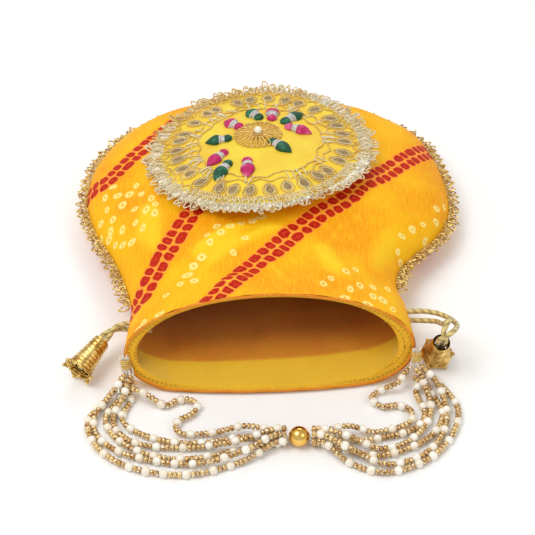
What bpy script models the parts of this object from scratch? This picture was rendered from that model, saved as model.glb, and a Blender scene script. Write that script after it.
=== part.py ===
"""Drawstring potli pouch lying on its back: two sewn panels, a lining, two drawcords with
metal bell caps, a round embroidered patch, a lace edge and a beaded handle in six strands.

Frame: x to the pouch's right, +y towards its closed end, +z up, z = 0 under it. Metres.
"""
import math

import bmesh
import bpy
import numpy as np
from mathutils import Matrix, Vector

MM = 0.001

# --- driving sizes, mm -------------------------------------------------------------------
CLOTH = 1.2            # padded outer cloth
LINING = 0.8           # lining cloth
CLEAR = 0.3            # air left between neighbours
LINING_INSET = 1.9     # outer face of the pouch to outer face of the lining
SEAM_GAP = 0.3         # between the two panels along the seam
NECK_ROWS = (0, 0.22, 0.44, 0.74, 0.88, 1.12, 1.26, 1.56, 1.8)   # stations of the neck
BODY_ROWS = 15         # rows from there to the closed end
PANEL_COLUMNS = 12     # columns across one panel
LINING_BACK = 0.06     # the lining stops this short of the lips, in stations
LIP_BACK = 11.0        # the upper lip leans back by this
LIP_FORWARD = 13.0     # the lower lip reaches forward by this
CHANNEL_AT = 1.0       # station of the drawcord channel
CHANNEL_FLAT = 0.26    # half width of its flat part, in stations
CHANNEL_FADE = 0.30    # and of its fading flank
CHANNEL_RISE = 5.2     # how far the cloth stands out round the cords
SLIT_LONG = 15.0
SLIT_TALL = 18.0
SLIT_DEEP = 40.0

# Plan of the seam at fourteen stations, from the mouth's corners to the closed end.
LEFT_SEAM = ((-78, -118), (-77, -98), (-77, -80), (-84, -54), (-93, -32), (-104, -10),
             (-112, 18), (-111, 46), (-104, 68), (-91, 89), (-72, 105.5), (-46, 116),
             (-20, 121), (0, 122.5))
RIGHT_SEAM = ((81, -111), (78, -84), (74, -66), (77, -47), (88, -31), (103, -13),
              (111.8, 10), (111.8, 38), (107, 63), (98, 85), (78, 102.5), (50, 115),
              (22, 121), (0, 122.5))
# Heights at the same stations: the seam, the crown of the front and the line of the back.
SEAM_HEIGHT = (21, 21, 20, 17, 16, 15, 14, 14, 14, 14, 14, 15, 16, 16)
CROWN_HEIGHT = (53, 48, 44, 43, 44, 45.5, 46, 44.5, 42.5, 40, 35.5, 29, 21, 16)
BACK_HEIGHT = (1.5, 5.6, 2.5, 0, 0, 0, 0, 0, 0, 0, 0, 0, 2, 16)
BACK_SWELL = 1.35      # the back's curve would go this far past its flat and is cut off there
THIN_END = 0.3         # share of the height left to the inner skins at the closed end

DRAWCORD = 3.0         # satin cord diameter
CORD_STEP = 8.0        # spacing of the points along a cord
STRAND = 3.6           # a bead strand's mean diameter
STRAND_STEP = 10.0
LOOP_STEP = 6.0        # closer points where a strand loops
THREAD = 2.4           # the bundle of threads through the gather bead

CAP_LONG = 22.0
CAP_WALL = 0.7
CAP_TOP = 4.2          # outer radius where the cords enter
CAP_RIM = 8.6
CAP_PETAL = 1.5        # the six petals reach this far past the rim
KNOT_RADIUS = 4.3
KNOT_AT = 6.0          # height of the knot above the cap's rim
LEFT_CAP_RIM = (-103.7, -120.0, 10.8)
LEFT_CAP_AXIS = (0.53, 0.82, 0.20)     # towards the pouch, along the cords
RIGHT_CAP_RIM = (94.5, -102.5, 6.2)
RIGHT_CAP_AXIS = (0.0, -0.48, 0.875)
# Where each drawcord's upper and lower runs go between the cap and the neck's slit.
LEFT_WAYS = (((-90.5, -99.5, 17.5), (-87.0, -96.5, 21.5)),
             ((-89.5, -98.5, 14.5), (-86.5, -95.0, 16.5)))
RIGHT_WAYS = (((99.0, -115.0, 35.0), (103.5, -104.0, 30.0), (99.0, -92.0, 25.0),
               (89.0, -86.5, 23.5)),
              ((96.0, -111.0, 36.5), (99.0, -101.5, 27.0), (95.5, -91.0, 19.5),
               (88.5, -86.5, 18.0)))
CORD_REACH = 6.0       # the cords run straight this far past the cap's top

PATCH_CENTRE = (-4.5, 34.5, 49.4)
PATCH_TILT = 4.0       # degrees, the far side lower
PATCH_RADIUS = 62.0
PATCH_THICK = 2.4
RUFFLE_RADIUS = 73.5
RUFFLE_PLEATS = 30
LEAF_RING = (45.0, 57.0)
LEAF_COUNT = 28
ZIGZAG_RADIUS = 38.5
ZIGZAG_SWING = 2.4
ZIGZAG_WAVES = 18
WIRE = 1.1
PETALS = 10
PETAL_ROOT = 15.6
PETAL_TIP = 34.5
PETAL_WIDE = 8.6
PETAL_HIGH = 3.6
ROSETTE_RADIUS = 14.6
ROSETTE_RAYS = 24
PEARL = 5.0

TRIM_WIDE = 5.0        # lace past the seam
TRIM_THICK = 0.9
TRIM_SPIKES = 78
TRIM_GAP = 0.7

BEAD_CENTRE = (16.6, -163.0, 6.1)
BEAD_RADIUS = 5.5
BEAD_BORE = 1.7
RING_RADIUS = 4.05     # six strands sit side by side in a ring of this radius
RING_OFF = 6.0         # from the bead's centre to the strands' ends
LEFT_TAB = (-75.5, -124.5, 9.0)
RIGHT_TAB = (82.0, -119.0, 9.5)
TAB_THICK = 0.9
# The outermost and innermost strands' routes on the table; the others lie between them.
LEFT_OUTER = ((-88, -134), (-97, -149), (-90, -167), (-70, -180), (-40, -185), (-14, -178))
LEFT_INNER = ((-71, -136), (-73, -146), (-68, -153), (-56, -158), (-38, -158), (-12, -157))
RIGHT_OUTER = ((96, -124), (102, -141), (97, -161), (83, -177), (62, -184), (43, -177))
RIGHT_INNER = ((78, -130), (80, -142), (76, -149), (67, -154), (56, -157), (43, -157))
# The innermost strand on each side wanders in a loop of its own in front of the mouth.
LEFT_LOOP = ((-66, -134), (-56, -138.5), (-45, -134), (-38, -139.5), (-43, -147.5),
             (-50, -153), (-42, -158.5), (-28, -157.5), (-12, -157))
RIGHT_LOOP = ((71, -126), (62, -127), (56.5, -133), (62, -139), (70, -138), (76.5, -141),
              (77.5, -147.5), (73, -152.5), (65, -155.5), (55, -157), (43, -157))
RIGHT_LOOP_WAY = (-0.75, -0.62, -0.2)
LEFT_WAY = (-0.35, -0.92, -0.12)
RIGHT_WAY = (0.55, -0.82, -0.12)
HIGH_LAYER = 5.2       # where strands crowd, every second one rides this much higher
STRANDS = 6

YELLOW = (0.97, 0.50, 0.012)
LEMON = (0.95, 0.74, 0.03)
LINING_YELLOW = (0.78, 0.36, 0.012)
GOLD = (0.72, 0.50, 0.20)
DARK_GOLD = (0.42, 0.29, 0.10)
OLIVE_CORD = (0.50, 0.39, 0.12)
GREEN = (0.005, 0.18, 0.07)
PINK = (0.62, 0.01, 0.10)
CREAM = (0.86, 0.82, 0.68)
BEAD_MIX = (0.74, 0.60, 0.36)


def clear_scene():
    for thing in list(bpy.data.objects):
        bpy.data.objects.remove(thing, do_unlink=True)


def collection(name):
    made = bpy.data.collections.new(name)
    bpy.context.scene.collection.children.link(made)
    return made


def material(name, colour, roughness, metallic=0.0):
    made = bpy.data.materials.new(name)
    made.use_nodes = True
    shader = made.node_tree.nodes["Principled BSDF"]
    shader.inputs["Base Color"].default_value = (*colour, 1.0)
    shader.inputs["Roughness"].default_value = roughness
    shader.inputs["Metallic"].default_value = metallic
    return made


def add_object(name, data, surface, home, place=(0, 0, 0)):
    """A new object of its own, its origin at the given place in millimetres."""
    made = bpy.data.objects.new(name, data)
    data.materials.append(surface)
    made.location = Vector(place) * MM
    home.objects.link(made)
    return made


def mesh_from(name, points, faces):
    """A mesh from points in millimetres, its faces turned outwards."""
    mesh = bpy.data.meshes.new(name)
    mesh.from_pydata([tuple(np.asarray(p, float) * MM) for p in points], [], faces)
    shape = bmesh.new()
    shape.from_mesh(mesh)
    bmesh.ops.remove_doubles(shape, verts=shape.verts, dist=1e-6)
    bmesh.ops.recalc_face_normals(shape, faces=shape.faces)
    shape.to_mesh(mesh)
    shape.free()
    return mesh


def smooth_through(points, where):
    """A smooth curve through the points (Catmull-Rom), read at a station number."""
    points = np.asarray(points, float)
    last = len(points) - 1
    first = int(min(max(math.floor(where), 0), last - 1))
    part = where - first
    a = points[max(first - 1, 0)]
    b, c = points[first], points[first + 1]
    d = points[min(first + 2, last)]
    return 0.5 * (2 * b + (c - a) * part + (2 * a - 5 * b + 4 * c - d) * part ** 2
                  + (3 * b - a - 3 * c + d) * part ** 3)


def evenly_along(points, step):
    """Points an even step apart along a smooth curve through the given points."""
    count = len(points) - 1
    fine = np.array([smooth_through(points, k * count / (40.0 * count))
                     for k in range(40 * count + 1)])
    run = np.concatenate([[0], np.cumsum(np.linalg.norm(np.diff(fine, axis=0), axis=1))])
    pieces = max(2, round(run[-1] / step))
    marks = np.linspace(0, run[-1], pieces + 1)
    return np.stack([np.interp(marks, run, fine[:, axis]) for axis in range(3)], axis=1)


# --- the pouch's skin --------------------------------------------------------------------

def channel_swell(station):
    """1 along the drawcord channel, fading to 0 on each side of it."""
    off = (abs(station - CHANNEL_AT) - CHANNEL_FLAT) / CHANNEL_FADE
    fall = min(max(off, 0.0), 1.0)
    return 1.0 - fall * fall * (3 - 2 * fall)


def seam_plan(station, inset=0.0):
    """Left and right points of the seam in plan, moved in by the inset."""
    ends = []
    for seam, side in ((LEFT_SEAM, 1.0), (RIGHT_SEAM, -1.0)):
        here = smooth_through(seam, station)
        ahead = smooth_through(seam, min(station + 0.02, len(seam) - 1.0))
        behind = smooth_through(seam, max(station - 0.02, 0.0))
        run = (ahead - behind) / np.linalg.norm(ahead - behind)
        inward = np.array([run[1], -run[0]]) * side
        if station >= len(seam) - 1.001:
            inward = np.array([0.0, -1.0])
        ends.append(here + inward * inset)
    return ends


def skin_point(station, angle, inset=0.0, swell=1.0):
    """A point on the skin: angle 0 is the right seam, 90 the crown and 270 the back."""
    inset = inset - swell * CHANNEL_RISE * channel_swell(station)
    left, right = seam_plan(station, inset)
    middle, half = (left + right) / 2, (right - left) / 2
    across, rise = math.cos(angle), math.sin(angle)
    seam = float(smooth_through(SEAM_HEIGHT, station))
    fade = max(0.0, 1.0 - station / 2.2)
    place = middle + half * across
    if rise >= 0:
        tall = float(smooth_through(CROWN_HEIGHT, station)) - seam
        height = seam + max(tall - inset, THIN_END * tall) * rise
        place[1] += LIP_BACK * fade * rise
    else:
        deep = seam - max(float(smooth_through(BACK_HEIGHT, station)), 0.0)
        share = min(BACK_SWELL * (-rise) ** 0.8, 1.0)
        height = max(seam - max(deep - inset, THIN_END * deep) * share, inset, 0.0)
        place[1] += LIP_FORWARD * fade * rise
    return np.array([place[0], place[1], height])


def station_rows(first=0.0):
    """Stations from the mouth to the closed end, closer where the cloth turns quickly."""
    last, start = len(LEFT_SEAM) - 1.0, 2.2
    parts = [k / BODY_ROWS for k in range(BODY_ROWS + 1)]
    rows = list(NECK_ROWS) + [start + (last - start) * (1 - (1 - q) ** 1.15) for q in parts]
    return [first] + rows[1:]


def cloth_shell(name, rows, angles, skins, closed, surface, home):
    """A shell between an outer and an inner skin, both on the same rows and angles."""
    wide, tall = len(angles), len(rows)
    points = [skin_point(station, angle, inset, swell) + np.array([0, 0, lift])
              for inset, swell, lift in skins for station in rows for angle in angles]
    faces = []
    inner = wide * tall
    for row in range(tall - 1):
        for k in range(wide if closed else wide - 1):
            a, b = row * wide + k, row * wide + (k + 1) % wide
            c, d = b + wide, a + wide
            faces.append((a, b, c, d))
            faces.append((a + inner, d + inner, c + inner, b + inner))
    for k in range(wide if closed else wide - 1):
        after = (k + 1) % wide
        faces.append((k, k + inner, after + inner, after))
    if not closed:
        for row in range(tall - 1):
            for edge in (row * wide, row * wide + wide - 1):
                faces.append((edge, edge + wide, edge + wide + inner, edge + inner))
    return add_object(name, mesh_from(name, points, faces), surface, home)


def panel(name, start, lift, surface, home):
    """One sewn panel, half of the pouch, from one seam over to the other."""
    angles = [start + math.pi * k / PANEL_COLUMNS for k in range(PANEL_COLUMNS + 1)]
    skins = ((0.0, 1.0, lift), (CLOTH, 1.0, lift))
    return cloth_shell(name, station_rows(), angles, skins, False, surface, home)


def lining(surface, home):
    """The lining: one bag of cloth inside the panels, open at the mouth."""
    around = 2 * PANEL_COLUMNS
    angles = [2 * math.pi * k / around for k in range(around)]
    skins = ((LINING_INSET, 0.0, 0.0), (LINING_INSET + LINING, 0.0, 0.0))
    return cloth_shell("lining", station_rows(LINING_BACK), angles, skins, True, surface, home)


def slit_cutter(name, side, station, home):
    """A block through the side seam, where a drawcord's two ends come out."""
    left, right = seam_plan(station)
    place = left if side < 0 else right
    bpy.ops.mesh.primitive_cube_add(size=1.0)
    block = bpy.context.object
    block.name = name
    block.scale = (SLIT_DEEP * MM, SLIT_LONG * MM, SLIT_TALL * MM)
    block.location = Vector((place[0], place[1], SEAM_HEIGHT[1])) * MM
    block.hide_render = True
    block.display_type = "WIRE"
    for user in list(block.users_collection):
        user.objects.unlink(block)
    home.objects.link(block)
    return block


def cut(made, block):
    hole = made.modifiers.new("slit", "BOOLEAN")
    hole.operation = "DIFFERENCE"
    hole.solver = "EXACT"
    hole.object = block


# --- cords -------------------------------------------------------------------------------

def cord(name, points, diameter, surface, home, cyclic=False):
    """A round cord through the points, its ends capped."""
    line = bpy.data.curves.new(name, "CURVE")
    line.dimensions = "3D"
    line.bevel_depth = diameter / 2 * MM
    line.bevel_resolution = 2
    line.use_fill_caps = not cyclic
    run = line.splines.new("POLY")
    run.points.add(len(points) - 1)
    for k, point in enumerate(points):
        run.points[k].co = (*(np.asarray(point, float) * MM), 1.0)
    run.use_cyclic_u = cyclic
    return add_object(name, line, surface, home)


def cap_frame(rim, axis):
    """A cap's rim centre, its axis towards the cords and a sideways direction."""
    rim, axis = Vector(rim), Vector(axis).normalized()
    sideways = axis.cross(Vector((0, 0, 1))).normalized()
    return rim, axis, sideways


def cord_through_cap(rim, axis, side, reach):
    """The straight run of one cord end from the knot through the cap's top."""
    rim, axis, sideways = cap_frame(rim, axis)
    beside = rim + sideways * side * (DRAWCORD / 2 + 0.15)
    low = KNOT_AT + KNOT_RADIUS + CLEAR
    return [beside + axis * (low + (reach - low) * k / 3) for k in range(4)]


def channel_run(station, from_angle, to_angle):
    """The cord's way round the neck, inside the channel."""
    inset = CLOTH + DRAWCORD / 2 + 0.55
    fine = [skin_point(station, from_angle + (to_angle - from_angle) * k / 240, inset)
            for k in range(241)]
    return list(evenly_along(fine[::6], CORD_STEP * 0.85))


def drawcord(name, station, side, rim, axis, reach, outside, surface, home):
    """One drawcord: out of its cap, in by the slit, round the neck and back again."""
    home_angle = math.pi if side < 0 else 0.0
    bend = 0.10
    upper = cord_through_cap(rim, axis, 1, reach)
    lower = cord_through_cap(rim, axis, -1, reach)
    turn = -1 if side < 0 else 1
    round_neck = channel_run(station, home_angle + turn * bend,
                             home_angle + turn * (2 * math.pi - bend))
    up, down = outside
    path = (upper + list(up) + round_neck + list(reversed(down)) + list(reversed(lower)))
    return cord(name, evenly_along([tuple(p) for p in path], CORD_STEP), DRAWCORD,
                surface, home)


def knot(name, rim, axis, surface, home):
    """The knot that keeps the cap on its cord."""
    rim, axis, _ = cap_frame(rim, axis)
    ball = bmesh.new()
    bmesh.ops.create_uvsphere(ball, u_segments=14, v_segments=9, radius=KNOT_RADIUS * MM)
    mesh = bpy.data.meshes.new(name)
    ball.to_mesh(mesh)
    ball.free()
    return add_object(name, mesh, surface, home, rim + axis * KNOT_AT)


def bell_cap(name, rim, axis, surface, home):
    """A thin metal bell with six petals at its rim and a hole for the cords at its top."""
    outer = ((0.0, CAP_RIM), (1.6, 7.9), (6.0, 6.9), (11.0, 5.9), (16.5, 5.0),
             (CAP_LONG, CAP_TOP))
    around = 36
    points, faces = [], []
    loops = list(outer) + [(z, r - CAP_WALL) for z, r in reversed(outer)]
    for z, radius in loops:
        petal = CAP_PETAL if z == 0.0 else (0.5 * CAP_PETAL if z < 2 else 0.0)
        for k in range(around):
            angle = 2 * math.pi * k / around
            reach = radius + petal * math.cos(6 * angle)
            points.append((reach * math.cos(angle), reach * math.sin(angle), z))
    count = len(loops)
    for row in range(count):
        for k in range(around):
            after, above = (k + 1) % around, (row + 1) % count
            faces.append((row * around + k, row * around + after,
                          above * around + after, above * around + k))
    rim, axis, _ = cap_frame(rim, axis)
    made = add_object(name, mesh_from(name, points, faces), surface, home, rim)
    made.rotation_euler = axis.to_track_quat("Z", "Y").to_euler()
    return made


# --- the beaded handle -------------------------------------------------------------------

def ring_offset(strand, sideways, upwards):
    """Where a strand sits in the ring of six, strand 0 on the outer side of the bend."""
    angle = math.radians((180, 120, 240, 60, 300, 0)[strand])
    return (sideways * math.cos(angle) + upwards * math.sin(angle)) * RING_RADIUS


def strand_path(strand, tab, outer, inner, way, side, loop=None):
    """One strand's centre line, from the tab to the gather bead."""
    share = strand / (STRANDS - 1)
    layer = HIGH_LAYER if strand % 2 else 0.0
    table = STRAND / 2 + 0.5
    out = Vector(way).normalized()
    sideways = out.cross(Vector((0, 0, 1))).normalized() * side
    upwards = sideways.cross(out).normalized()
    if upwards.z < 0:
        upwards = -upwards
    start = Vector(tab) + ring_offset(strand, sideways, upwards)
    path = [start, start + out * 5.0]
    spots = loop or [Vector(far) * (1 - share) + Vector(near) * share
                     for far, near in zip(outer, inner)]
    for k, spot in enumerate(Vector(spot) for spot in spots):
        height = table + (layer if k in (0, len(spots) - 1) else layer * 0.1)
        path.append(Vector((spot.x, spot.y, height)))
    last = Vector(BEAD_CENTRE) + Vector((side * RING_OFF, 0, 0))
    gather = ring_offset(strand, Vector((0, 1, 0)), Vector((0, 0, 1)))
    path += [last + gather + Vector((side * 7.0, 0, 0)), last + gather]
    return evenly_along([tuple(p) for p in path], LOOP_STEP if loop else STRAND_STEP)


def handle(surface, thread_surface, home):
    for strand in range(STRANDS):
        inmost = strand == STRANDS - 1
        path = strand_path(strand, LEFT_TAB, LEFT_OUTER, LEFT_INNER, LEFT_WAY, -1,
                           LEFT_LOOP if inmost else None)
        cord(f"handle_left_strand_{strand + 1}", path, STRAND, surface, home)
        path = strand_path(strand, RIGHT_TAB, RIGHT_OUTER, RIGHT_INNER,
                           RIGHT_LOOP_WAY if inmost else RIGHT_WAY, 1,
                           RIGHT_LOOP if inmost else None)
        cord(f"handle_right_strand_{strand + 1}", path, STRAND, surface, home)
    middle = Vector(BEAD_CENTRE)
    ends = [middle + Vector((x, 0, 0)) for x in (-10.0, -3.5, 3.5, 10.0)]
    cord("handle_thread", ends, THREAD, thread_surface, home)


def gather_bead(surface, home, cutters):
    """The gold ball that gathers the strands, bored for their threads."""
    ball = bmesh.new()
    bmesh.ops.create_uvsphere(ball, u_segments=16, v_segments=12, radius=BEAD_RADIUS * MM)
    mesh = bpy.data.meshes.new("gather_bead")
    ball.to_mesh(mesh)
    ball.free()
    made = add_object("gather_bead", mesh, surface, home, BEAD_CENTRE)
    bpy.ops.mesh.primitive_cylinder_add(vertices=24, radius=BEAD_BORE * MM,
                                        depth=3 * BEAD_RADIUS * MM)
    drill = bpy.context.object
    drill.name = "bead_drill"
    drill.location = made.location
    drill.rotation_euler = (0, math.pi / 2, 0)
    drill.hide_render = True
    drill.display_type = "WIRE"
    for user in list(drill.users_collection):
        user.objects.unlink(drill)
    cutters.objects.link(drill)
    cut(made, drill)
    return made


def handle_tab(name, tab, corner, surface, home):
    """A folded ribbon tab, sewn in a corner of the mouth, that holds the strands."""
    middle = [Vector(corner), (Vector(corner) + Vector(tab)) / 2 + Vector((0, -1.0, 1.5)),
              Vector(tab) + Vector((0, 2.8, 4.4))]
    points, faces = [], []
    for spot in middle:
        for across in (-2.6, 0.0, 2.6):
            points.append(spot + Vector((across, 0, 0)))
    for row in range(2):
        for k in range(2):
            corner_at = row * 3 + k
            faces.append((corner_at, corner_at + 1, corner_at + 4, corner_at + 3))
    made = add_object(name, mesh_from(name, points, faces), surface, home)
    strap = made.modifiers.new("strap", "SOLIDIFY")
    strap.thickness = TAB_THICK * MM
    strap.offset = 0.0
    return made


# --- the round patch ---------------------------------------------------------------------

def on_patch(made):
    """Set a piece built flat about the origin on the tilted patch."""
    made.location = Vector(PATCH_CENTRE) * MM
    made.rotation_euler = (math.radians(-PATCH_TILT), 0, 0)


def annulus(name, inner, outer, thick, lift, wave, around, surface, home):
    """A flat ring; wave(angle, part) gives radius and height offsets in millimetres."""
    points, faces = [], []
    steps = 2
    for layer in (0.0, thick):
        for row in range(steps + 1):
            part = row / steps
            for k in range(around):
                angle = 2 * math.pi * k / around
                out, up = wave(angle, part)
                radius = inner + (outer - inner) * part + out
                points.append((radius * math.cos(angle), radius * math.sin(angle),
                               lift + layer + up))
    band = (steps + 1) * around
    for k in range(around):
        after = (k + 1) % around
        for row in range(steps):
            a, b = row * around + k, row * around + after
            c, d = b + around, a + around
            faces.append((a, d, c, b))
            faces.append((a + band, b + band, c + band, d + band))
        faces.append((k, after, after + band, k + band))
        top = steps * around
        faces.append((top + k, top + k + band, top + after + band, top + after))
    made = add_object(name, mesh_from(name, points, faces), surface, home)
    on_patch(made)
    return made


def patch_disc(surface, home):
    """The padded round of cloth that the embroidery is worked on."""
    bpy.ops.mesh.primitive_cylinder_add(vertices=64, radius=PATCH_RADIUS * MM,
                                        depth=PATCH_THICK * MM)
    made = bpy.context.object
    made.name = "patch_disc"
    made.data.transform(Matrix.Translation((0, 0, -PATCH_THICK / 2 * MM)))
    made.data.materials.append(surface)
    soft = made.modifiers.new("soft_edge", "BEVEL")
    soft.width = 0.6 * MM
    soft.segments = 2
    for user in list(made.users_collection):
        user.objects.unlink(made)
    home.objects.link(made)
    on_patch(made)
    return made


def patch_ruffle(surface, home):
    def wave(angle, part):
        return part * 0.8 * math.cos(RUFFLE_PLEATS * angle), part * math.sin(RUFFLE_PLEATS * angle)
    return annulus("patch_ruffle", PATCH_RADIUS + CLEAR, RUFFLE_RADIUS, 1.0,
                   -PATCH_THICK * 0.7, wave, RUFFLE_PLEATS * 4, surface, home)


def patch_leaf_ring(surface, home):
    def wave(angle, part):
        scallop = abs(math.cos(LEAF_COUNT / 2 * angle))
        return (1.4 * scallop * part - 1.2 * scallop * (1 - part), 0.0)
    return annulus("patch_leaf_ring", LEAF_RING[0], LEAF_RING[1], 1.0, CLEAR, wave,
                   LEAF_COUNT * 3, surface, home)


def zigzag_wire(surface, home):
    points = []
    for k in range(ZIGZAG_WAVES * 4):
        angle = 2 * math.pi * k / (ZIGZAG_WAVES * 4)
        radius = ZIGZAG_RADIUS + ZIGZAG_SWING * math.sin(ZIGZAG_WAVES * angle)
        points.append((radius * math.cos(angle), radius * math.sin(angle), WIRE / 2 + CLEAR))
    made = cord("patch_zigzag_wire", points, WIRE, surface, home, cyclic=True)
    on_patch(made)
    return made


def petal(name, number, surface, home):
    """A padded satin petal, pointed outwards and tied near its root."""
    ball = bmesh.new()
    bmesh.ops.create_uvsphere(ball, u_segments=12, v_segments=10, radius=1.0)
    turn = 2 * math.pi * (number + 0.5) / PETALS + math.radians(4)
    long = PETAL_TIP - PETAL_ROOT
    for vertex in ball.verts:
        along = (vertex.co.z + 1) / 2
        ring = math.hypot(vertex.co.x, vertex.co.y)
        pinch = 0.62 if 0.1 < along < 0.35 else 1.0
        taper = (1 - along) ** 0.55 * 1.25 * pinch
        if ring > 1e-6:
            full = math.sqrt(max(0.0, 1 - vertex.co.z ** 2))
            side = vertex.co.x / ring * full ** 0.6 * taper
            high = vertex.co.y / ring * full ** 0.6 * taper
        else:
            side = high = 0.0
        radius = PETAL_ROOT + long * along
        flat = Vector((radius, side * PETAL_WIDE / 2,
                       PETAL_HIGH * 0.62 + CLEAR + high * PETAL_HIGH / 2))
        vertex.co = flat * MM
    mesh = bpy.data.meshes.new(name)
    ball.to_mesh(mesh)
    ball.free()
    mesh.transform(Matrix.Rotation(turn, 4, "Z"))
    made = add_object(name, mesh, surface, home)
    on_patch(made)
    return made


def rosette(surface, home):
    """The ring of radial wire loops round the pearl, as one low fluted dome."""
    around = ROSETTE_RAYS * 4
    rings = ((0.30, 1.9), (0.65, 2.6), (1.0, 1.1), (1.0, 0.0), (0.30, 0.0))
    points, faces = [], []
    for part, height in rings:
        for k in range(around):
            angle = 2 * math.pi * k / around
            reach = ROSETTE_RADIUS * part * (1 + 0.05 * part * math.cos(ROSETTE_RAYS * angle))
            points.append((reach * math.cos(angle), reach * math.sin(angle), CLEAR + height))
    for row in range(len(rings)):
        above = (row + 1) % len(rings)
        for k in range(around):
            after = (k + 1) % around
            faces.append((row * around + k, row * around + after,
                          above * around + after, above * around + k))
    made = add_object("rosette", mesh_from("rosette", points, faces), surface, home)
    on_patch(made)
    return made


def rosette_pearl(surface, home):
    ball = bmesh.new()
    bmesh.ops.create_uvsphere(ball, u_segments=16, v_segments=12, radius=PEARL / 2 * MM)
    bmesh.ops.translate(ball, verts=ball.verts, vec=(0, 0, (PEARL / 2 + 1.4) * MM))
    mesh = bpy.data.meshes.new("rosette_pearl")
    ball.to_mesh(mesh)
    ball.free()
    made = add_object("rosette_pearl", mesh, surface, home)
    on_patch(made)
    return made


# --- the lace edge -----------------------------------------------------------------------

def seam_trim(surface, home):
    """Spiked lace along the seam, from one side of the neck round to the other."""
    first, last = 2.7, len(LEFT_SEAM) - 1.0
    half = TRIM_SPIKES
    route = []
    for k in range(half):
        station = first + (last - first) * (k / half) ** 0.9
        route.append((seam_plan(station)[0], station))
    route.append((seam_plan(last)[0], last))
    for k in reversed(range(half)):
        station = first + (last - first) * (k / half) ** 0.9
        route.append((seam_plan(station)[1], station))
    inner, outer = [], []
    for k, (spot, station) in enumerate(route):
        before, after = route[max(k - 1, 0)][0], route[min(k + 1, len(route) - 1)][0]
        run = (after - before) / np.linalg.norm(after - before)
        away = np.array([-run[1], run[0]])
        height = float(smooth_through(SEAM_HEIGHT, station))
        width = TRIM_WIDE if k % 2 else TRIM_WIDE * 0.45
        inner.append((*(spot + away * TRIM_GAP), height))
        outer.append((*(spot + away * (TRIM_GAP + width)), height))
    points, faces = [], []
    for lift in (-TRIM_THICK / 2, TRIM_THICK / 2):
        points += [(x, y, z + lift) for x, y, z in inner]
        points += [(x, y, z + lift) for x, y, z in outer]
    count = len(route)
    for k in range(count - 1):
        a, b, c, d = k, k + 1, count + k + 1, count + k
        up = 2 * count
        faces += [(a, b, c, d), (a + up, d + up, c + up, b + up),
                  (a, a + up, b + up, b), (d, c, c + up, d + up)]
    faces += [(0, count, 3 * count, 2 * count),
              (count - 1, 3 * count - 1, 4 * count - 1, 2 * count - 1)]
    return add_object("seam_trim", mesh_from("seam_trim", points, faces), surface, home)


def build():
    clear_scene()
    pouch = collection("potli_pouch")
    cutters = collection("cutters")
    yellow = material("yellow_cloth", YELLOW, 0.75)
    inside = material("lining_cloth", LINING_YELLOW, 0.9)
    satin = material("drawcord_satin", OLIVE_CORD, 0.4)
    brass = material("cap_metal", DARK_GOLD, 0.25, 1.0)
    gold = material("gold_metal", GOLD, 0.2, 1.0)
    wire = material("gold_wire", GOLD, 0.35, 1.0)
    lace = material("gold_lace", GOLD, 0.45, 0.6)
    lemon = material("patch_cloth", LEMON, 0.7)
    beads = material("bead_strand", BEAD_MIX, 0.35)
    thread = material("white_thread", CREAM, 0.8)
    pearl = material("pearl", CREAM, 0.2)
    green = material("green_satin", GREEN, 0.35)
    pink = material("pink_satin", PINK, 0.35)

    front = panel("front_panel", 0.0, SEAM_GAP, yellow, pouch)
    back = panel("back_panel", math.pi, 0.0, yellow, pouch)
    lining(inside, pouch)
    left_slit = slit_cutter("left_slit", -1, CHANNEL_AT + 0.12, cutters)
    right_slit = slit_cutter("right_slit", 1, CHANNEL_AT - 0.12, cutters)
    for made in (front, back):
        cut(made, left_slit)
        cut(made, right_slit)
    seam_trim(lace, pouch)

    drawcord("drawcord_left", CHANNEL_AT + 0.12, -1, LEFT_CAP_RIM, LEFT_CAP_AXIS,
             CAP_LONG + CORD_REACH, LEFT_WAYS, satin, pouch)
    drawcord("drawcord_right", CHANNEL_AT - 0.12, 1, RIGHT_CAP_RIM, RIGHT_CAP_AXIS,
             CAP_LONG + CORD_REACH, RIGHT_WAYS, satin, pouch)
    knot("drawcord_left_knot", LEFT_CAP_RIM, LEFT_CAP_AXIS, satin, pouch)
    knot("drawcord_right_knot", RIGHT_CAP_RIM, RIGHT_CAP_AXIS, satin, pouch)
    bell_cap("left_cap", LEFT_CAP_RIM, LEFT_CAP_AXIS, brass, pouch)
    bell_cap("right_cap", RIGHT_CAP_RIM, RIGHT_CAP_AXIS, brass, pouch)

    handle(beads, thread, pouch)
    gather_bead(gold, pouch, cutters)
    handle_tab("handle_tab_left", LEFT_TAB, (-77.5, -120.5, 22.0), lace, pouch)
    handle_tab("handle_tab_right", RIGHT_TAB, (81.0, -114.5, 22.0), lace, pouch)

    patch_disc(lemon, pouch)
    patch_ruffle(lace, pouch)
    patch_leaf_ring(wire, pouch)
    zigzag_wire(wire, pouch)
    for number in range(PETALS):
        colour, surface = ("green", green) if number % 2 == 0 else ("pink", pink)
        petal(f"{colour}_petal_{number // 2 + 1}", number, surface, pouch)
    rosette(wire, pouch)
    rosette_pearl(pearl, pouch)


build()
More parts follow.
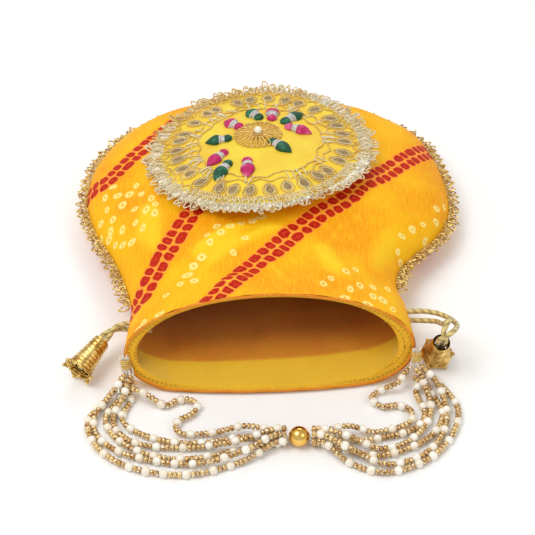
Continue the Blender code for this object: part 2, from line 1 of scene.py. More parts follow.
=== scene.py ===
import math
import bpy
import numpy as np
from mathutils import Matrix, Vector


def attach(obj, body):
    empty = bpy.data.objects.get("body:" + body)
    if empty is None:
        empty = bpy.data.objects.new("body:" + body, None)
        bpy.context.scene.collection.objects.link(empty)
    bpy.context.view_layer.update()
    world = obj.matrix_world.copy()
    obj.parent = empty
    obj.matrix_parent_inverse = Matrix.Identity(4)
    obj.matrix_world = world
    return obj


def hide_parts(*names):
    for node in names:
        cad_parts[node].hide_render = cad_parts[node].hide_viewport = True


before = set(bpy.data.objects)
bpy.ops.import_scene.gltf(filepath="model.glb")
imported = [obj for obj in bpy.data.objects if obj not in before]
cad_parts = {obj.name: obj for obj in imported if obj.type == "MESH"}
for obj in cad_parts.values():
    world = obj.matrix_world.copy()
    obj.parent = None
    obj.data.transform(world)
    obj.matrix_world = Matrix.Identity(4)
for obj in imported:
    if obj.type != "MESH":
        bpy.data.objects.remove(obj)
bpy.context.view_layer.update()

mm = 0.001
tau = 2 * math.pi
up = np.array([0.0, 0.0, 1.0])


# camera: straight in front of the mouth, looking down on it
view = {"target": (0, -57, 30), "elevation": 42.0, "away": 760.0, "lens": 89.3}


def addCamera(settings):
    tilt = math.radians(settings["elevation"])
    data = bpy.data.cameras.new("camera")
    data.lens, data.sensor_width, data.clip_start = settings["lens"], 36.0, 0.01
    made = bpy.data.objects.new("camera", data)
    back = Vector((0, -math.cos(tilt), math.sin(tilt))) * settings["away"]
    made.location = (Vector(settings["target"]) + back) * mm
    made.rotation_euler = (math.pi / 2 - tilt, 0, 0)
    bpy.context.scene.collection.objects.link(made)
    bpy.context.scene.camera = made


addCamera(view)


# curves and meshes as whole arrays, in millimetres
def through(points, where):
    # smooth curve through the points (Catmull-Rom), read at station numbers
    points = np.asarray(points, float)
    where = np.asarray(where, float)
    last = len(points) - 1
    first = np.clip(np.floor(where).astype(int), 0, last - 1)
    part = where - first
    if points.ndim > 1:
        part = part[..., None]
    a, b = points[np.maximum(first - 1, 0)], points[first]
    c, d = points[first + 1], points[np.minimum(first + 2, last)]
    return 0.5 * (2 * b + (c - a) * part + (2 * a - 5 * b + 4 * c - d) * part ** 2
                  + (3 * b - a - 3 * c + d) * part ** 3)


def runOf(line):
    # distance run along a line at each of its points
    return np.concatenate([[0], np.cumsum(np.linalg.norm(np.diff(line, axis=0), axis=1))])


def readAt(marks, run, line):
    # the line's points at these distances along it
    return np.stack([np.interp(marks, run, line[:, k]) for k in range(3)], axis=1)


def evenLine(points, step):
    # points an even step apart along the smooth curve through the given ones
    count = len(points) - 1
    fine = through(points, np.linspace(0, count, 40 * count + 1))
    run = runOf(fine)
    marks = np.linspace(0, run[-1], max(2, round(run[-1] / step)) + 1)
    return readAt(marks, run, fine)


def fullTurn(count):
    # angles an even step apart, once round
    return np.linspace(0, tau, count, endpoint=False)


def stacked(*parts):
    # coordinates side by side, as the last axis
    return np.stack(np.broadcast_arrays(*parts), axis=-1)


def unit(v):
    return v / np.maximum(np.linalg.norm(v, axis=-1, keepdims=True), 1e-9)


def gridFaces(rows, columns, closed=False, offset=0):
    # quads of a grid whose points run row by row
    across = columns if closed else columns - 1
    r, k = np.meshgrid(np.arange(rows - 1), np.arange(across), indexing="ij")
    a = r * columns + k
    b = r * columns + (k + 1) % columns
    return stacked(a, b, b + columns, a + columns).reshape(-1, 4) + offset


def copies(faces, count, size):
    # the same faces for each of many equal sets of points
    return (faces[None] + np.arange(count)[:, None, None] * size).reshape(-1, faces.shape[1])


def poleFans(rows, columns):
    # triangles that close a grid's two ends; the pole points come after the grid's own
    k, last, pole = np.arange(columns), (rows - 1) * columns, rows * columns
    after = (k + 1) % columns
    return [np.stack([k, after, np.full(columns, pole)], axis=1),
            np.stack([last + after, last + k, np.full(columns, pole + 1)], axis=1)]


def piece(name, points, faces, materials, node=None, body="pouch", uv=None, marks=None,
          index=None, slot=None):
    # a mesh object from points in millimetres; faces is an array or a list of arrays
    mesh = bpy.data.meshes.new(name)
    sets = faces if isinstance(faces, list) else [faces]
    mesh.from_pydata((np.asarray(points, float).reshape(-1, 3) * mm).tolist(), [],
                     [f for block in sets for f in block.tolist()])
    corners = np.empty(len(mesh.loops), dtype=np.int32)
    mesh.loops.foreach_get("vertex_index", corners)
    if uv is not None:
        layer = mesh.uv_layers.new(name="cloth")
        layer.data.foreach_set("uv", np.asarray(uv, float).reshape(-1, 2)[corners].ravel())
    for key, values in (marks or {}).items():
        values = np.asarray(values, float)
        wide = values.ndim > 1 and values.shape[-1] == 3 and values.size == 3 * len(mesh.vertices)
        layer = mesh.attributes.new(key, "FLOAT_VECTOR" if wide else "FLOAT", "POINT")
        layer.data.foreach_set("vector" if wide else "value", values.ravel())
    for made in materials if isinstance(materials, (list, tuple)) else [materials]:
        mesh.materials.append(made)
    if index is not None:
        mesh.polygons.foreach_set("material_index", np.asarray(index, dtype=np.int32))
    mesh.polygons.foreach_set("use_smooth", np.full(len(mesh.polygons), True))
    mesh.update()
    made = bpy.data.objects.new(name, mesh)
    bpy.context.scene.collection.objects.link(made)
    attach(made, body)
    if node:
        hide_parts(node)
    return made


def tubes(lines, radius, sides=6, closed=False, lean=up, flat=1.0):
    # many tubes at once: lines is (tubes, points, 3); radius a number or (tubes, points);
    # flat squeezes the section along the lean direction
    lines = np.asarray(lines, float)
    if lines.ndim == 2:
        lines = lines[None]
    count, long = lines.shape[:2]
    if closed:
        run = np.roll(lines, -1, axis=1) - np.roll(lines, 1, axis=1)
    else:
        run = np.gradient(lines, axis=1)
    run = unit(run)
    side = unit(np.cross(run, np.broadcast_to(lean, run.shape)))
    rise = np.cross(side, run)
    turn = fullTurn(sides)
    radius = np.broadcast_to(np.asarray(radius, float), (count, long))[..., None, None]
    points = (lines[:, :, None] + radius * (np.cos(turn)[:, None] * side[:, :, None]
              + flat * np.sin(turn)[:, None] * rise[:, :, None]))
    size = long * sides
    block = gridFaces(long + 1 if closed else long, sides, closed=True) % size
    faces = [copies(block, count, size)]
    if not closed:
        ends = np.stack([np.arange(sides)[::-1], np.arange(sides) + size - sides])
        faces.append(copies(ends, count, size))
    gap = np.linalg.norm(np.diff(lines, axis=1), axis=2)
    along = np.concatenate([np.zeros((count, 1)), np.cumsum(gap, axis=1)], axis=1)
    uv = stacked(along[:, :, None], turn / tau * 6)
    return points.reshape(-1, 3), faces, uv.reshape(-1, 2)


def joined(parts):
    # several (points, faces, uv) sets as one, with the set's number for each face
    points, faces, uvs, index, start = [], [], [], [], 0
    for number, (p, f, uv) in enumerate(parts):
        for block in f if isinstance(f, list) else [f]:
            faces.append(block + start)
            index.append(np.full(len(block), number))
        points.append(p)
        uvs.append(uv)
        start += len(p)
    return np.concatenate(points), faces, np.concatenate(uvs), np.concatenate(index)


def joinedPiece(name, parts, materials, **more):
    # several meshes as one piece, each with its own material
    points, faces, uv, index = joined(parts)
    return piece(name, points, faces, materials, uv=uv, index=index, **more)


def stamped(shape, faces, centres, frames, sizes=1.0):
    # a small shape set at many places: point = centre + frame times shape
    sizes = np.broadcast_to(np.asarray(sizes, float), (len(centres),))[:, None, None]
    points = centres[:, None] + sizes * np.einsum("nij,vj->nvi", frames, shape)
    return points.reshape(-1, 3), [copies(f, len(centres), len(shape)) for f in faces]


def framesAlong(run, lean=up):
    # columns: along the run, sideways, upwards
    run = unit(run)
    side = unit(np.cross(run, np.broadcast_to(lean, run.shape)))
    return stacked(run, side, np.cross(side, run))


def turned(x, r, sides):
    # a profile, as x and radius, turned about the x axis
    angle = fullTurn(sides)
    return stacked(x[:, None], r[:, None] * np.cos(angle),
                   r[:, None] * np.sin(angle)).reshape(-1, 3)


def bead(length, radius, hole, rings, sides):
    # a ring of glass, closed at both ends, its hole along x
    turn = np.linspace(0, math.pi, rings)
    shape = turned(-np.cos(turn) * length / 2,
                   hole + (radius - hole) * np.sin(turn) ** 0.42, sides)
    last = (rings - 1) * sides
    caps = np.stack([np.arange(sides)[::-1], np.arange(sides) + last])
    return shape, [gridFaces(rings, sides, closed=True)[:, ::-1], caps[:, ::-1]]


def ball(radius, rings=8, sides=12):
    # a round ball with closed poles, its axis along x
    turn = np.linspace(0, math.pi, rings + 1)[1:-1]
    shape = np.concatenate([turned(-np.cos(turn), np.sin(turn), sides),
                            [[-1, 0, 0], [1, 0, 0]]]) * radius
    return shape, [gridFaces(rings - 1, sides, closed=True)[:, ::-1],
                   *poleFans(rings - 1, sides)]


# materials
class Value:
    # one output socket; arithmetic on it makes Math nodes
    def __init__(self, graph, socket):
        self.graph, self.socket = graph, socket

    def __add__(self, other):
        return self.graph.math("ADD", self, other)

    def __sub__(self, other):
        return self.graph.math("SUBTRACT", self, other)

    def __rsub__(self, other):
        return self.graph.math("SUBTRACT", other, self)

    def __mul__(self, other):
        return self.graph.math("MULTIPLY", self, other)

    def __truediv__(self, other):
        return self.graph.math("DIVIDE", self, other)

    def __rtruediv__(self, other):
        return self.graph.math("DIVIDE", other, self)

    def __pow__(self, other):
        return self.graph.math("POWER", self, other)

    __radd__, __rmul__ = __add__, __mul__


def srgb(red, green, blue):
    # a display colour, 0 to 255, as linear light
    share = [c / 255 for c in (red, green, blue)]
    return tuple(c / 12.92 if c < 0.04045 else ((c + 0.055) / 1.055) ** 2.4
                 for c in share) + (1.0,)


class Graph:
    # a material's node tree
    def __init__(self, name):
        self.material = bpy.data.materials.new(name)
        self.material.use_nodes = True
        self.tree = self.material.node_tree
        self.tree.nodes.clear()

    def make(self, kind, settings=None, values=None, out=0):
        # any node: its type, its settings, then its sockets' values or links
        node = self.tree.nodes.new("ShaderNode" + kind)
        for key, setting in (settings or {}).items():
            setattr(node, key, setting)
        for key, value in (values or {}).items():
            if isinstance(value, Value):
                self.tree.links.new(value.socket, node.inputs[key])
            else:
                node.inputs[key].default_value = value
        return Value(self, node.outputs[out]) if len(node.outputs) else None

    def math(self, kind, *values):
        return self.make("Math", {"operation": kind}, dict(enumerate(values)))

    def mix(self, share, a, b):
        return self.make("Mix", {"data_type": "RGBA"}, {0: share, 6: a, 7: b}, 2)

    def step(self, value, low, high):
        # 0 below low, 1 above high, smooth between; low may be the larger
        return self.make("MapRange", {"interpolation_type": "SMOOTHSTEP"},
                         {0: value, 1: low, 2: high, 3: 0.0, 4: 1.0})

    def mark(self, name, out="Fac"):
        return self.make("Attribute", {"attribute_name": name}, out=out)

    def uv(self, scale=(1, 1, 1)):
        place = self.make("UVMap", {"uv_map": "cloth"})
        return self.make("VectorMath", {"operation": "MULTIPLY"}, {0: place, 1: scale})

    def place(self, scale=(1, 1, 1)):
        # object coordinates in millimetres, times a scale
        spot = self.make("TexCoord", out="Object")
        return self.make("VectorMath", {"operation": "MULTIPLY"},
                         {0: spot, 1: tuple(1000 * s for s in scale)})

    def noise(self, vector, scale=1.0, detail=2.0, rough=0.5):
        return self.make("TexNoise", {}, {"Vector": vector, "Scale": scale, "Detail": detail,
                                          "Roughness": rough})

    def wave(self, vector, scale=1.0, direction="X", bend=0.0):
        return self.make("TexWave", {"bands_direction": direction},
                         {"Vector": vector, "Scale": scale, "Distortion": bend})

    def cells(self, vector, scale=1.0, feature="F1", out=0):
        return self.make("TexVoronoi", {"feature": feature}, {"Vector": vector, "Scale": scale},
                         out)

    def bump(self, height, depth, strength=1.0):
        # depth in millimetres
        return self.make("Bump", {}, {"Height": height, "Distance": depth * mm,
                                      "Strength": strength})

    def axes(self, vector):
        # a vector's three numbers
        return [self.make("SeparateXYZ", {}, {0: vector}, k) for k in range(3)]

    def done(self, values):
        # the shader with these sockets, joined to the output
        self.make("OutputMaterial", {}, {0: self.make("BsdfPrincipled", {}, values)})
        return self.material


def metal(name, colour, dark, rough, scale, depth, wave=False, metallic=1.0):
    # metal with painted shade: darker in the small hollows of its fine hammered or wound relief
    g = Graph(name)
    grain = g.noise(g.place(), scale, 3.0)
    relief = g.wave(g.uv(), 1.1, "X", 0.6) if wave else grain
    # painted shade: without a wound relief the dark colour fills the hollows of the hammered grain; with
    # one, this is a random tone
    tone = g.mix(g.step(grain, 0.35, 0.68), dark, colour)
    # painted shade: the dark colour in the hollows of the wound relief
    shown = g.mix(g.step(relief, 0.0, 0.45), dark, tone) if wave else tone
    return g.done({"Base Color": shown, "Metallic": metallic,
                   "Roughness": grain * 0.25 + (rough - 0.12),
                   "Normal": g.bump(relief, depth)})


goldBall = metal("gold_ball", srgb(255, 214, 120), srgb(236, 178, 84), 0.14, 0.12, 0.004)
goldWire = metal("gold_wire_look", srgb(255, 232, 148), srgb(236, 186, 88), 0.30, 0.8, 0.10, True,
                 0.2)
paleWire = metal("pale_wire_look", srgb(255, 252, 234), srgb(242, 224, 172), 0.28, 0.8, 0.08, True,
                 0.25)
capGold = metal("cap_gold", srgb(244, 214, 132), srgb(190, 146, 70), 0.24, 0.25, 0.03)
capDark = metal("cap_dark", srgb(250, 218, 134), srgb(190, 146, 70), 0.2, 0.25, 0.03)
laceGold = metal("lace_gold", srgb(255, 230, 146), srgb(172, 120, 44), 0.22, 0.5, 0.05, False,
                 0.55)


def pearlLook():
    g = Graph("pearl_look")
    drift = g.noise(g.place(), 0.12, 2.0)
    tone = g.mix(g.step(drift, 0.4, 0.6), srgb(255, 250, 238), srgb(246, 234, 212))
    return g.done({"Base Color": tone, "Roughness": 0.28, "Coat Weight": 0.6,
                   "Coat Roughness": 0.08, "Subsurface Weight": 0.1,
                   "Subsurface Scale": 0.002,
                   "Normal": g.bump(g.noise(g.place(), 1.5, 2.0), 0.02)})


def seedLook():
    # clear glass over a gold lining: pale rims, a darker heart of painted shade and a painted hard
    # highlight, as specks of one noise
    g = Graph("seed_look")
    shade = g.mark("shade")
    glintShadeSpeck = g.noise(g.place(), 0.9, 2.0)
    tone = g.mix(shade, srgb(196, 146, 66), srgb(244, 208, 132))
    # painted highlight: near-white specks
    tone = g.mix(g.step(glintShadeSpeck, 0.54, 0.70), tone, srgb(255, 250, 232))
    # painted shade: dark brown specks for the bead's darker heart
    tone = g.mix(g.step(glintShadeSpeck, 0.47, 0.34), tone, srgb(120, 74, 24))
    return g.done({"Base Color": tone, "Metallic": 0.5, "Roughness": 0.2,
                   "Coat Weight": 0.9, "Coat Roughness": 0.03,
                   "Normal": g.bump(glintShadeSpeck, 0.05)})


def satinCordLook():
    # plies wound round each other: fine threads with a painted sheen, and painted shade in the gaps between
    # the plies
    g = Graph("satin_cord_look")
    along, around, _ = g.axes(g.uv())
    ply = g.math("SINE", along * 1.35 + around * (tau / 3))
    fine = g.math("SINE", along * 9.0 - around * 6.0)
    # painted shade: darker in the gaps between the plies
    tone = g.mix(g.step(ply, -1.0, 0.4), srgb(158, 128, 58), srgb(218, 194, 116))
    # painted sheen: near-white along the fine threads
    tone = g.mix(g.step(fine, 0.2, 1.0) * 0.4, tone, srgb(250, 238, 190))
    return g.done({"Base Color": tone, "Roughness": 0.36, "Metallic": 0.25,
                   "Sheen Weight": 0.3,
                   "Normal": g.bump(ply * 0.6 + fine * 0.2, 0.16)})


def threadLook():
    g = Graph("thread_look")
    fibre = g.noise(g.uv((0.3, 3.0, 1)), 2.0, 3.0)
    tone = g.mix(fibre, srgb(232, 224, 206), srgb(255, 252, 244))
    return g.done({"Base Color": tone, "Roughness": 0.75,
                   "Normal": g.bump(fibre, 0.1)})


pearlWhite, seedGlass = pearlLook(), seedLook()
satinCord, whiteThread = satinCordLook(), threadLook()


# the beaded handle and the two drawcords
handle = {"strands": 6, "across": 3.6, "ring": 4.05, "bead": (16.6, -163.0, 6.1), "off": 6.0,
          "layer": 5.2, "pearl": 4.9, "seed": 3.45, "seedLong": 2.4}
leftHandle = {"side": -1, "tab": (-75.5, -124.5, 9), "way": (-0.35, -0.92, -0.12),
              "outer": ((-88, -134), (-97, -149), (-90, -167), (-70, -180), (-40, -185),
                        (-14, -178)),
              "inner": ((-71, -136), (-73, -146), (-68, -153), (-56, -158), (-38, -158),
                        (-12, -157)),
              "loopWay": (-0.35, -0.92, -0.12),
              "loop": ((-66, -134), (-56, -138.2), (-50.2, -135.4), (-44.5, -133.6),
                       (-39.3, -135.9), (-38.0, -140.2), (-41.0, -144.9), (-47.0, -148.6),
                       (-49.0, -152.8), (-47.2, -157.0), (-42.6, -158.8), (-28, -157.5),
                       (-12, -157))}
rightHandle = {"side": 1, "tab": (82, -119, 9.5), "way": (0.55, -0.82, -0.12),
               "outer": ((96, -124), (102, -141), (97, -161), (83, -177), (62, -184), (43, -177)),
               "inner": ((78, -130), (80, -142), (76, -149), (67, -154), (56, -157), (43, -157)),
               "loopWay": (-0.75, -0.62, -0.2),
               "loop": ((71, -126), (62, -127), (56.5, -133), (62, -139), (70, -138),
                        (76.5, -141), (77.5, -147.5), (73, -152.5), (65, -155.5), (55, -157),
                        (43, -157))}


def ringSpot(number, sideways, upwards):
    # a strand's place in the ring of six
    angle = math.radians((180, 120, 240, 60, 300, 0)[number])
    return (sideways * math.cos(angle) + upwards * math.sin(angle)) * handle["ring"]


def strandRoute(number, half):
    # a strand's line: out of its tab, down to the ground, round its bend and into the bead
    share = number / (handle["strands"] - 1)
    layer = handle["layer"] if number % 2 else 0.0
    inmost = number == handle["strands"] - 1
    out = unit(np.array(half["loopWay" if inmost else "way"]))
    sideways = unit(np.cross(out, up)) * half["side"]
    upwards = np.cross(sideways, out)
    upwards = upwards if upwards[2] > 0 else -upwards
    start = np.array(half["tab"], float) + ringSpot(number, sideways, upwards)
    path = [start, start + out * 5.0]
    outer, inner = np.array(half["outer"]), np.array(half["inner"])
    spots = np.array(half["loop"]) if inmost else outer * (1 - share) + inner * share
    for k, spot in enumerate(spots):
        rise = layer if k in (0, len(spots) - 1) else layer * 0.1
        path.append(np.array([*spot, handle["across"] / 2 + 0.5 + rise]))
    gather = (np.array(handle["bead"]) + [half["side"] * handle["off"], 0, 0]
              + ringSpot(number, np.array([0, 1.0, 0]), up))
    path += [gather + [half["side"] * 7.0, 0, 0], gather]
    line = evenLine(path, 1.0)
    # slight wandering on the ground, none at either end
    run = np.linspace(0, 1, len(line))
    hold = np.clip(np.sin(run * math.pi) * 2.2 - 0.5, 0, 1) * (not inmost)
    ahead = np.gradient(line, axis=0)
    sway = 1.1 * np.sin(run * (9 + number) + number * 2.4) * hold
    line[:, :2] += unit(np.stack([-ahead[:, 1], ahead[:, 0]], axis=1)) * sway[:, None]
    return line


def beadedStrand(name, node, route, seed):
    # pearls with three to five seed beads between them, threaded on the route
    rng = np.random.default_rng(seed)
    run = runOf(route)
    groups = rng.choice([2, 3, 3, 3, 4, 4, 5], size=int(run[-1] / 7))
    isPearl = np.concatenate([np.concatenate([[False] * int(n), [True]]) for n in groups])
    long = np.where(isPearl, handle["pearl"] * 0.93, handle["seedLong"])
    middle = np.cumsum(long) - long / 2 + 0.3
    keep = np.cumsum(long) < run[-1] + 1.0
    middle, isPearl = middle[keep], isPearl[keep]
    middle = middle * (run[-1] - 0.6) / (middle[-1] + long[keep][-1] / 2)
    centre = readAt(middle, run, route)
    lean = (readAt(middle + 1, run, route) - readAt(middle - 1, run, route)
            + rng.normal(0, 0.22, centre.shape) * ~isPearl[:, None])
    frames = framesAlong(lean)
    pearls, seeds = isPearl, ~isPearl
    size = rng.uniform(0.92, 1.08, len(middle))
    shape, faces = ball(handle["pearl"] / 2, 7, 10)
    a = stamped(shape, faces, centre[pearls], frames[pearls], size[pearls] * 0.5 + 0.5)
    shape, faces = bead(handle["seedLong"] * 0.97, handle["seed"] / 2, 0.5, 5, 9)
    b = stamped(shape, faces, centre[seeds], frames[seeds], size[seeds])
    thread = tubes(np.concatenate([route[:-1:4], route[-1:]]), 0.35, 5)
    shift, more = len(a[0]), len(a[0]) + len(b[0])
    shade = np.concatenate([np.zeros(len(a[0])), np.repeat(rng.random(seeds.sum()), len(shape)),
                            np.zeros(len(thread[0]))])
    faces = a[1] + [f + shift for f in b[1]] + [f + more for f in thread[1]]
    index = np.concatenate([np.zeros(sum(map(len, a[1]))), np.ones(sum(map(len, b[1]))),
                            np.full(sum(map(len, thread[1])), 2)])
    made = piece(name, np.concatenate([a[0], b[0], thread[0]]), faces,
                 [pearlWhite, seedGlass, whiteThread], node, marks={"shade": shade},
                 index=index, slot="bead_strand")
    tuple(route[0] * mm)
    [tuple(p * mm) for p in route[::3]] + [tuple(route[-1] * mm)]


for sideName, half in (("left", leftHandle), ("right", rightHandle)):
    for number in range(handle["strands"]):
        beadedStrand(f"handle_{sideName}_beads_{number + 1}",
                     f"handle_{sideName}_strand_{number + 1}", strandRoute(number, half),
                     7 * number + 40 + (half["side"] > 0))
print("beaded strands done")


# the pouch's cloth
leftSeam = np.array([(-78, -118), (-77, -98), (-77, -80), (-84, -54), (-93, -32), (-104, -10),
                     (-112, 18), (-111, 46), (-104, 68), (-91, 89), (-72, 105.5), (-46, 116),
                     (-20, 121), (0, 122.5)])
rightSeam = np.array([(81, -111), (78, -84), (74, -66), (77, -47), (88, -31), (103, -13),
                      (111.8, 10), (111.8, 38), (107, 63), (98, 85), (78, 102.5), (50, 115),
                      (22, 121), (0, 122.5)])
seamHeight = np.array([21, 21, 20, 17, 16, 15, 14, 14, 14, 14, 14, 15, 16, 16.0])
crownHeight = np.array([53, 48, 44, 43, 44, 45.5, 46, 44.5, 42.5, 40, 35.5, 29, 21, 16])
backHeight = np.array([1.5, 5.6, 2.5, 0, 0, 0, 0, 0, 0, 0, 0, 0, 2, 16])


def skin(station, angle, inset=0.0):
    # a point on the pouch: angle 0 is the right seam, a quarter turn the crown
    station, angle, inset = (np.array(a) for a in np.broadcast_arrays(
        np.asarray(station, float), np.asarray(angle, float), np.asarray(inset, float)))
    left, right = through(leftSeam, station), through(rightSeam, station)
    span = right - left
    length = np.linalg.norm(span, axis=-1, keepdims=True)
    pull = np.minimum(inset[..., None] / np.maximum(length, 0.5), 0.4)
    left, right = left + span * pull, right - span * pull
    middle, half = (left + right) / 2, (right - left) / 2
    across, rise = np.cos(angle), np.sin(angle)
    seam = through(seamHeight, station)
    fade = np.maximum(0, 1 - station / 2.2)
    tall = through(crownHeight, station) - seam
    deep = seam - np.maximum(through(backHeight, station), 0)
    share = np.minimum(1.35 * np.maximum(-rise, 0) ** 0.8, 1)
    top = seam + np.maximum(tall - inset, 0.3 * tall) * rise
    low = np.maximum(seam - np.maximum(deep - inset, 0.3 * deep) * share, inset)
    spot = middle + half * across[..., None]
    y = spot[..., 1] + np.where(rise >= 0, 11.0, 13.0) * fade * rise
    return stacked(spot[..., 0], y, np.where(rise >= 0, top, low))


def evenAngles(count, wide=105.0, tall=30.0):
    # angles over half an ellipse, an even step of arc apart
    fine = np.linspace(0, math.pi, 2000)
    run = runOf(np.stack([wide * np.cos(fine), tall * np.sin(fine)], axis=1))
    return np.interp(np.linspace(0, run[-1], count), run, fine)


def clothPlaces(points, crown):
    # cloth coordinates in millimetres: along each row from the crown, and down the crown
    step = np.linalg.norm(np.diff(points, axis=1), axis=2)
    across = np.concatenate([np.zeros((len(points), 1)), np.cumsum(step, axis=1)], axis=1)
    across = across[:, crown:crown + 1] - across
    down = runOf(points[:, crown])
    return stacked(across, np.broadcast_to(down[:, None], across.shape))


def chainPlace(places, chains):
    # for each point: distance along the nearest chain and away from it, and its side;
    # 99 away where none is near
    result = np.full((len(places), 3), 99.0)
    nearest = np.full(len(places), 12.0)
    for chain in chains:
        line = through(chain, np.linspace(0, len(chain) - 1, 30 * len(chain)))
        run, ahead = runOf(line), unit(np.gradient(line, axis=0))
        low, high = line.min(axis=0) - 12, line.max(axis=0) + 12
        near = np.flatnonzero(((places > low) & (places < high)).all(axis=1))
        gap = np.linalg.norm(places[near, None] - line[None], axis=2)
        k = gap.argmin(axis=1)
        away = places[near] - line[k]
        along = run[k] + (away * ahead[k]).sum(axis=1)
        across = away[:, 0] * ahead[k, 1] - away[:, 1] * ahead[k, 0]
        close = (gap.min(axis=1) < nearest[near]) & (along > -1) & (along < run[-1] + 1)
        chosen = near[close]
        nearest[chosen] = gap.min(axis=1)[close]
        result[chosen] = np.stack([along, np.abs(across), np.sign(across)], axis=1)[close]
    return result


def dotGap(places, dots, rng):
    # distance to the nearest tied dot, as a share of that dot's own size
    size = rng.uniform(0.72, 1.08, len(dots))
    skew = rng.uniform(-0.25, 0.25, len(dots))
    best = np.full(len(places), 9.0)
    for (x, y), s, k in zip(dots, size, skew):
        away = places - [x, y]
        best = np.minimum(best, np.hypot(away[:, 0] * (1 + k), away[:, 1] * (1 - k)) / s)
    return best


def ridges(plan, folds):
    # height added by soft folds; each has a line in plan, a height and a half width
    total = np.zeros(len(plan))
    for line, height, wide in folds:
        line = through(np.array(line, float), np.linspace(0, len(line) - 1, 12 * len(line)))
        gap = np.linalg.norm(plan[:, None] - line[None], axis=2)
        k = gap.argmin(axis=1)
        end = np.sin(math.pi * np.clip(k / (len(line) - 1), 0.08, 0.92)) ** 0.8
        total += height * end * np.exp(-(gap.min(axis=1) / wide) ** 2)
    return total


front = {
    "rows": 262, "columns": 258,
    "chains": [((-38, 96), (-43, 83), (-48, 71), (-52, 61), (-59, 49), (-67, 37), (-73, 29),
                (-83, 25), (-92, 20)),
               ((124, 196), (104, 169), (86, 146), (69, 124), (57, 112), (47, 96), (33, 82),
                (25, 70), (13, 55), (-1, 39), (-13, 27), (-24, 11), (-32, 0), (-38, -8)),
               ((-134, 120), (-114, 123), (-102, 125), (-91, 136), (-77, 155), (-60, 184))],
    "dots": [(-99, 101), (-79, 93), (-71, 88), (-94, 92), (-77, 82), (-86, 82), (-95, 85),
             (-71, 75), (-97, 81), (-91, 75), (-85, 72), (-78, 70), (-104, 94), (-101, 111),
             (-92, 109), (-84, 107), (-76, 104), (-69, 98), (-65, 84), (-66, 92), (-105, 86), (-88, 100),
             (-80, 113), (-96, 118), (-39, 40), (-18, 66), (-12, 70), (-6, 73), (-31, 62),
             (-40, 27), (-48, 28), (-9, 56), (-26, 69), (-1, 76), (-16, 46),
             (-23, 61), (-29, 54), (-34, 45), (-43, 34), (-57, 21), (-61, 3), (-71, 3), (-75, 0),
             (107, 110), (114, 117), (107, 99), (119, 107), (97, 91), (90, 84), (84, 76),
             (102, 83), (83, 64), (87, 59), (35, 19), (45, 26), (52, 32), (30, 12), (45, 10),
             (51, 15), (59, 17), (69, 21), (41, 2), (54, 1), (58, 9), (64, 9), (70, 5)],
    "folds": [(((-46, -62), (-35, -53), (-18, -38), (-2, -28)), 4.6, 6.5),
              (((-40, -80), (-30, -65), (-14, -50), (2, -40), (19, -43)), 3.6, 5.5),
              (((-13, -38), (-13, -22)), -3.0, 8.0),
              (((-30, -98), (-23, -91), (-14, -76)), 2.6, 5.0),
              (((46, -84), (35, -64), (28, -44)), 3.4, 8.0),
              (((-72, -44), (-69, -26), (-74, -6)), 3.6, 9.0),
              (((-58, -62), (-62, -48), (-70, -30)), 2.6, 6.0),
              (((10, -96), (6, -80), (-4, -62)), 2.2, 5.0),
              (((60, -70), (66, -46), (80, -20)), 2.8, 8.0)]}


def tiedCloth(name):
    # yellow crepe with a tied pattern: red cells in two rows along each chain, and pale dots; with painted
    # highlights on crinkles and fold tops, and painted shade in fold valleys and fine hollows
    g = Graph(name)
    place = g.uv()
    drift = g.noise(place, 0.022, 2.0)
    crinkle = g.noise(g.uv((1.0, 0.13, 1)), 0.9, 4.0, 0.6)
    fine = g.noise(g.uv((2.6, 1.0, 1)), 1.2, 3.0, 0.65)
    base = g.mix(g.step(drift, 0.36, 0.62), srgb(248, 160, 4), srgb(254, 186, 10))
    # painted highlight: lemon on the crinkles' raised lines
    base = g.mix(g.step(crinkle, 0.42, 0.68) * 0.5, base, srgb(255, 208, 30))
    # painted highlight on the fold tops, and painted shade in the fold valleys below
    base = g.mix(g.step(g.mark("high"), 0.8, 3.4) * 0.55, base, srgb(255, 222, 40))
    base = g.mix(g.step(g.mark("high"), -0.4, -2.4) * 0.6, base, srgb(236, 138, 2))
    # painted shade: darker in the fine grain's hollows
    base = g.mix(g.step(fine, 0.36, 0.20) * 0.45, base, srgb(232, 142, 8))
    chain = g.mark("chain", "Vector")
    along, across, side = g.axes(chain)
    rough = g.noise(place, 0.42, 2.0) - 0.5
    odd = g.math("GREATER_THAN", side, 0.0)
    wander = g.noise(g.make("CombineXYZ", {}, {0: along * 0.06, 1: odd * 7.0}), 1.0, 1.0)
    u = g.math("FRACT", along / 6.9 + odd * 0.42 + wander * 1.6) - 0.5
    w = (across - 3.6) / (wander * 2.2 + 5.8)
    # a rounded square: the fourth root of the sum of the sides' fourth powers
    square = ((u * 1.06) ** 2.0) ** 2.0 + (w ** 2.0) ** 2.0
    edge = (square ** 0.25) * 0.6 + g.math("SQRT", u * u + w * w) * 0.4 + rough * 0.22
    halo = g.step(across, 10.5, 5.5)
    base = g.mix(halo * 0.45, base, srgb(255, 160, 16))
    cell = g.mix(g.step(g.noise(place, 0.7, 2.0), 0.35, 0.65), srgb(172, 18, 2), srgb(212, 44, 6))
    heart = g.step(edge, 0.16, 0.07)
    cell = g.mix(heart * 0.35, cell, srgb(226, 84, 20))
    ring = g.mix(g.step(edge, 0.42, 0.46), cell, srgb(255, 150, 60))
    base = g.mix(g.step(edge, 0.56, 0.50), base, ring)
    dot = g.mark("dots") + rough * 1.5
    pale = g.mix(g.step(dot, 1.3, 0.6), srgb(255, 236, 140), srgb(244, 172, 24))
    base = g.mix(g.step(dot, 3.0, 2.2) * 0.85, base, pale)
    relief = crinkle * 0.75 + fine * 0.25
    return g.done({"Base Color": base, "Roughness": fine * 0.18 + 0.52,
                   "Specular IOR Level": 0.16,
                   "Normal": g.bump(relief, 0.55)})


tied = tiedCloth("tied_cloth")


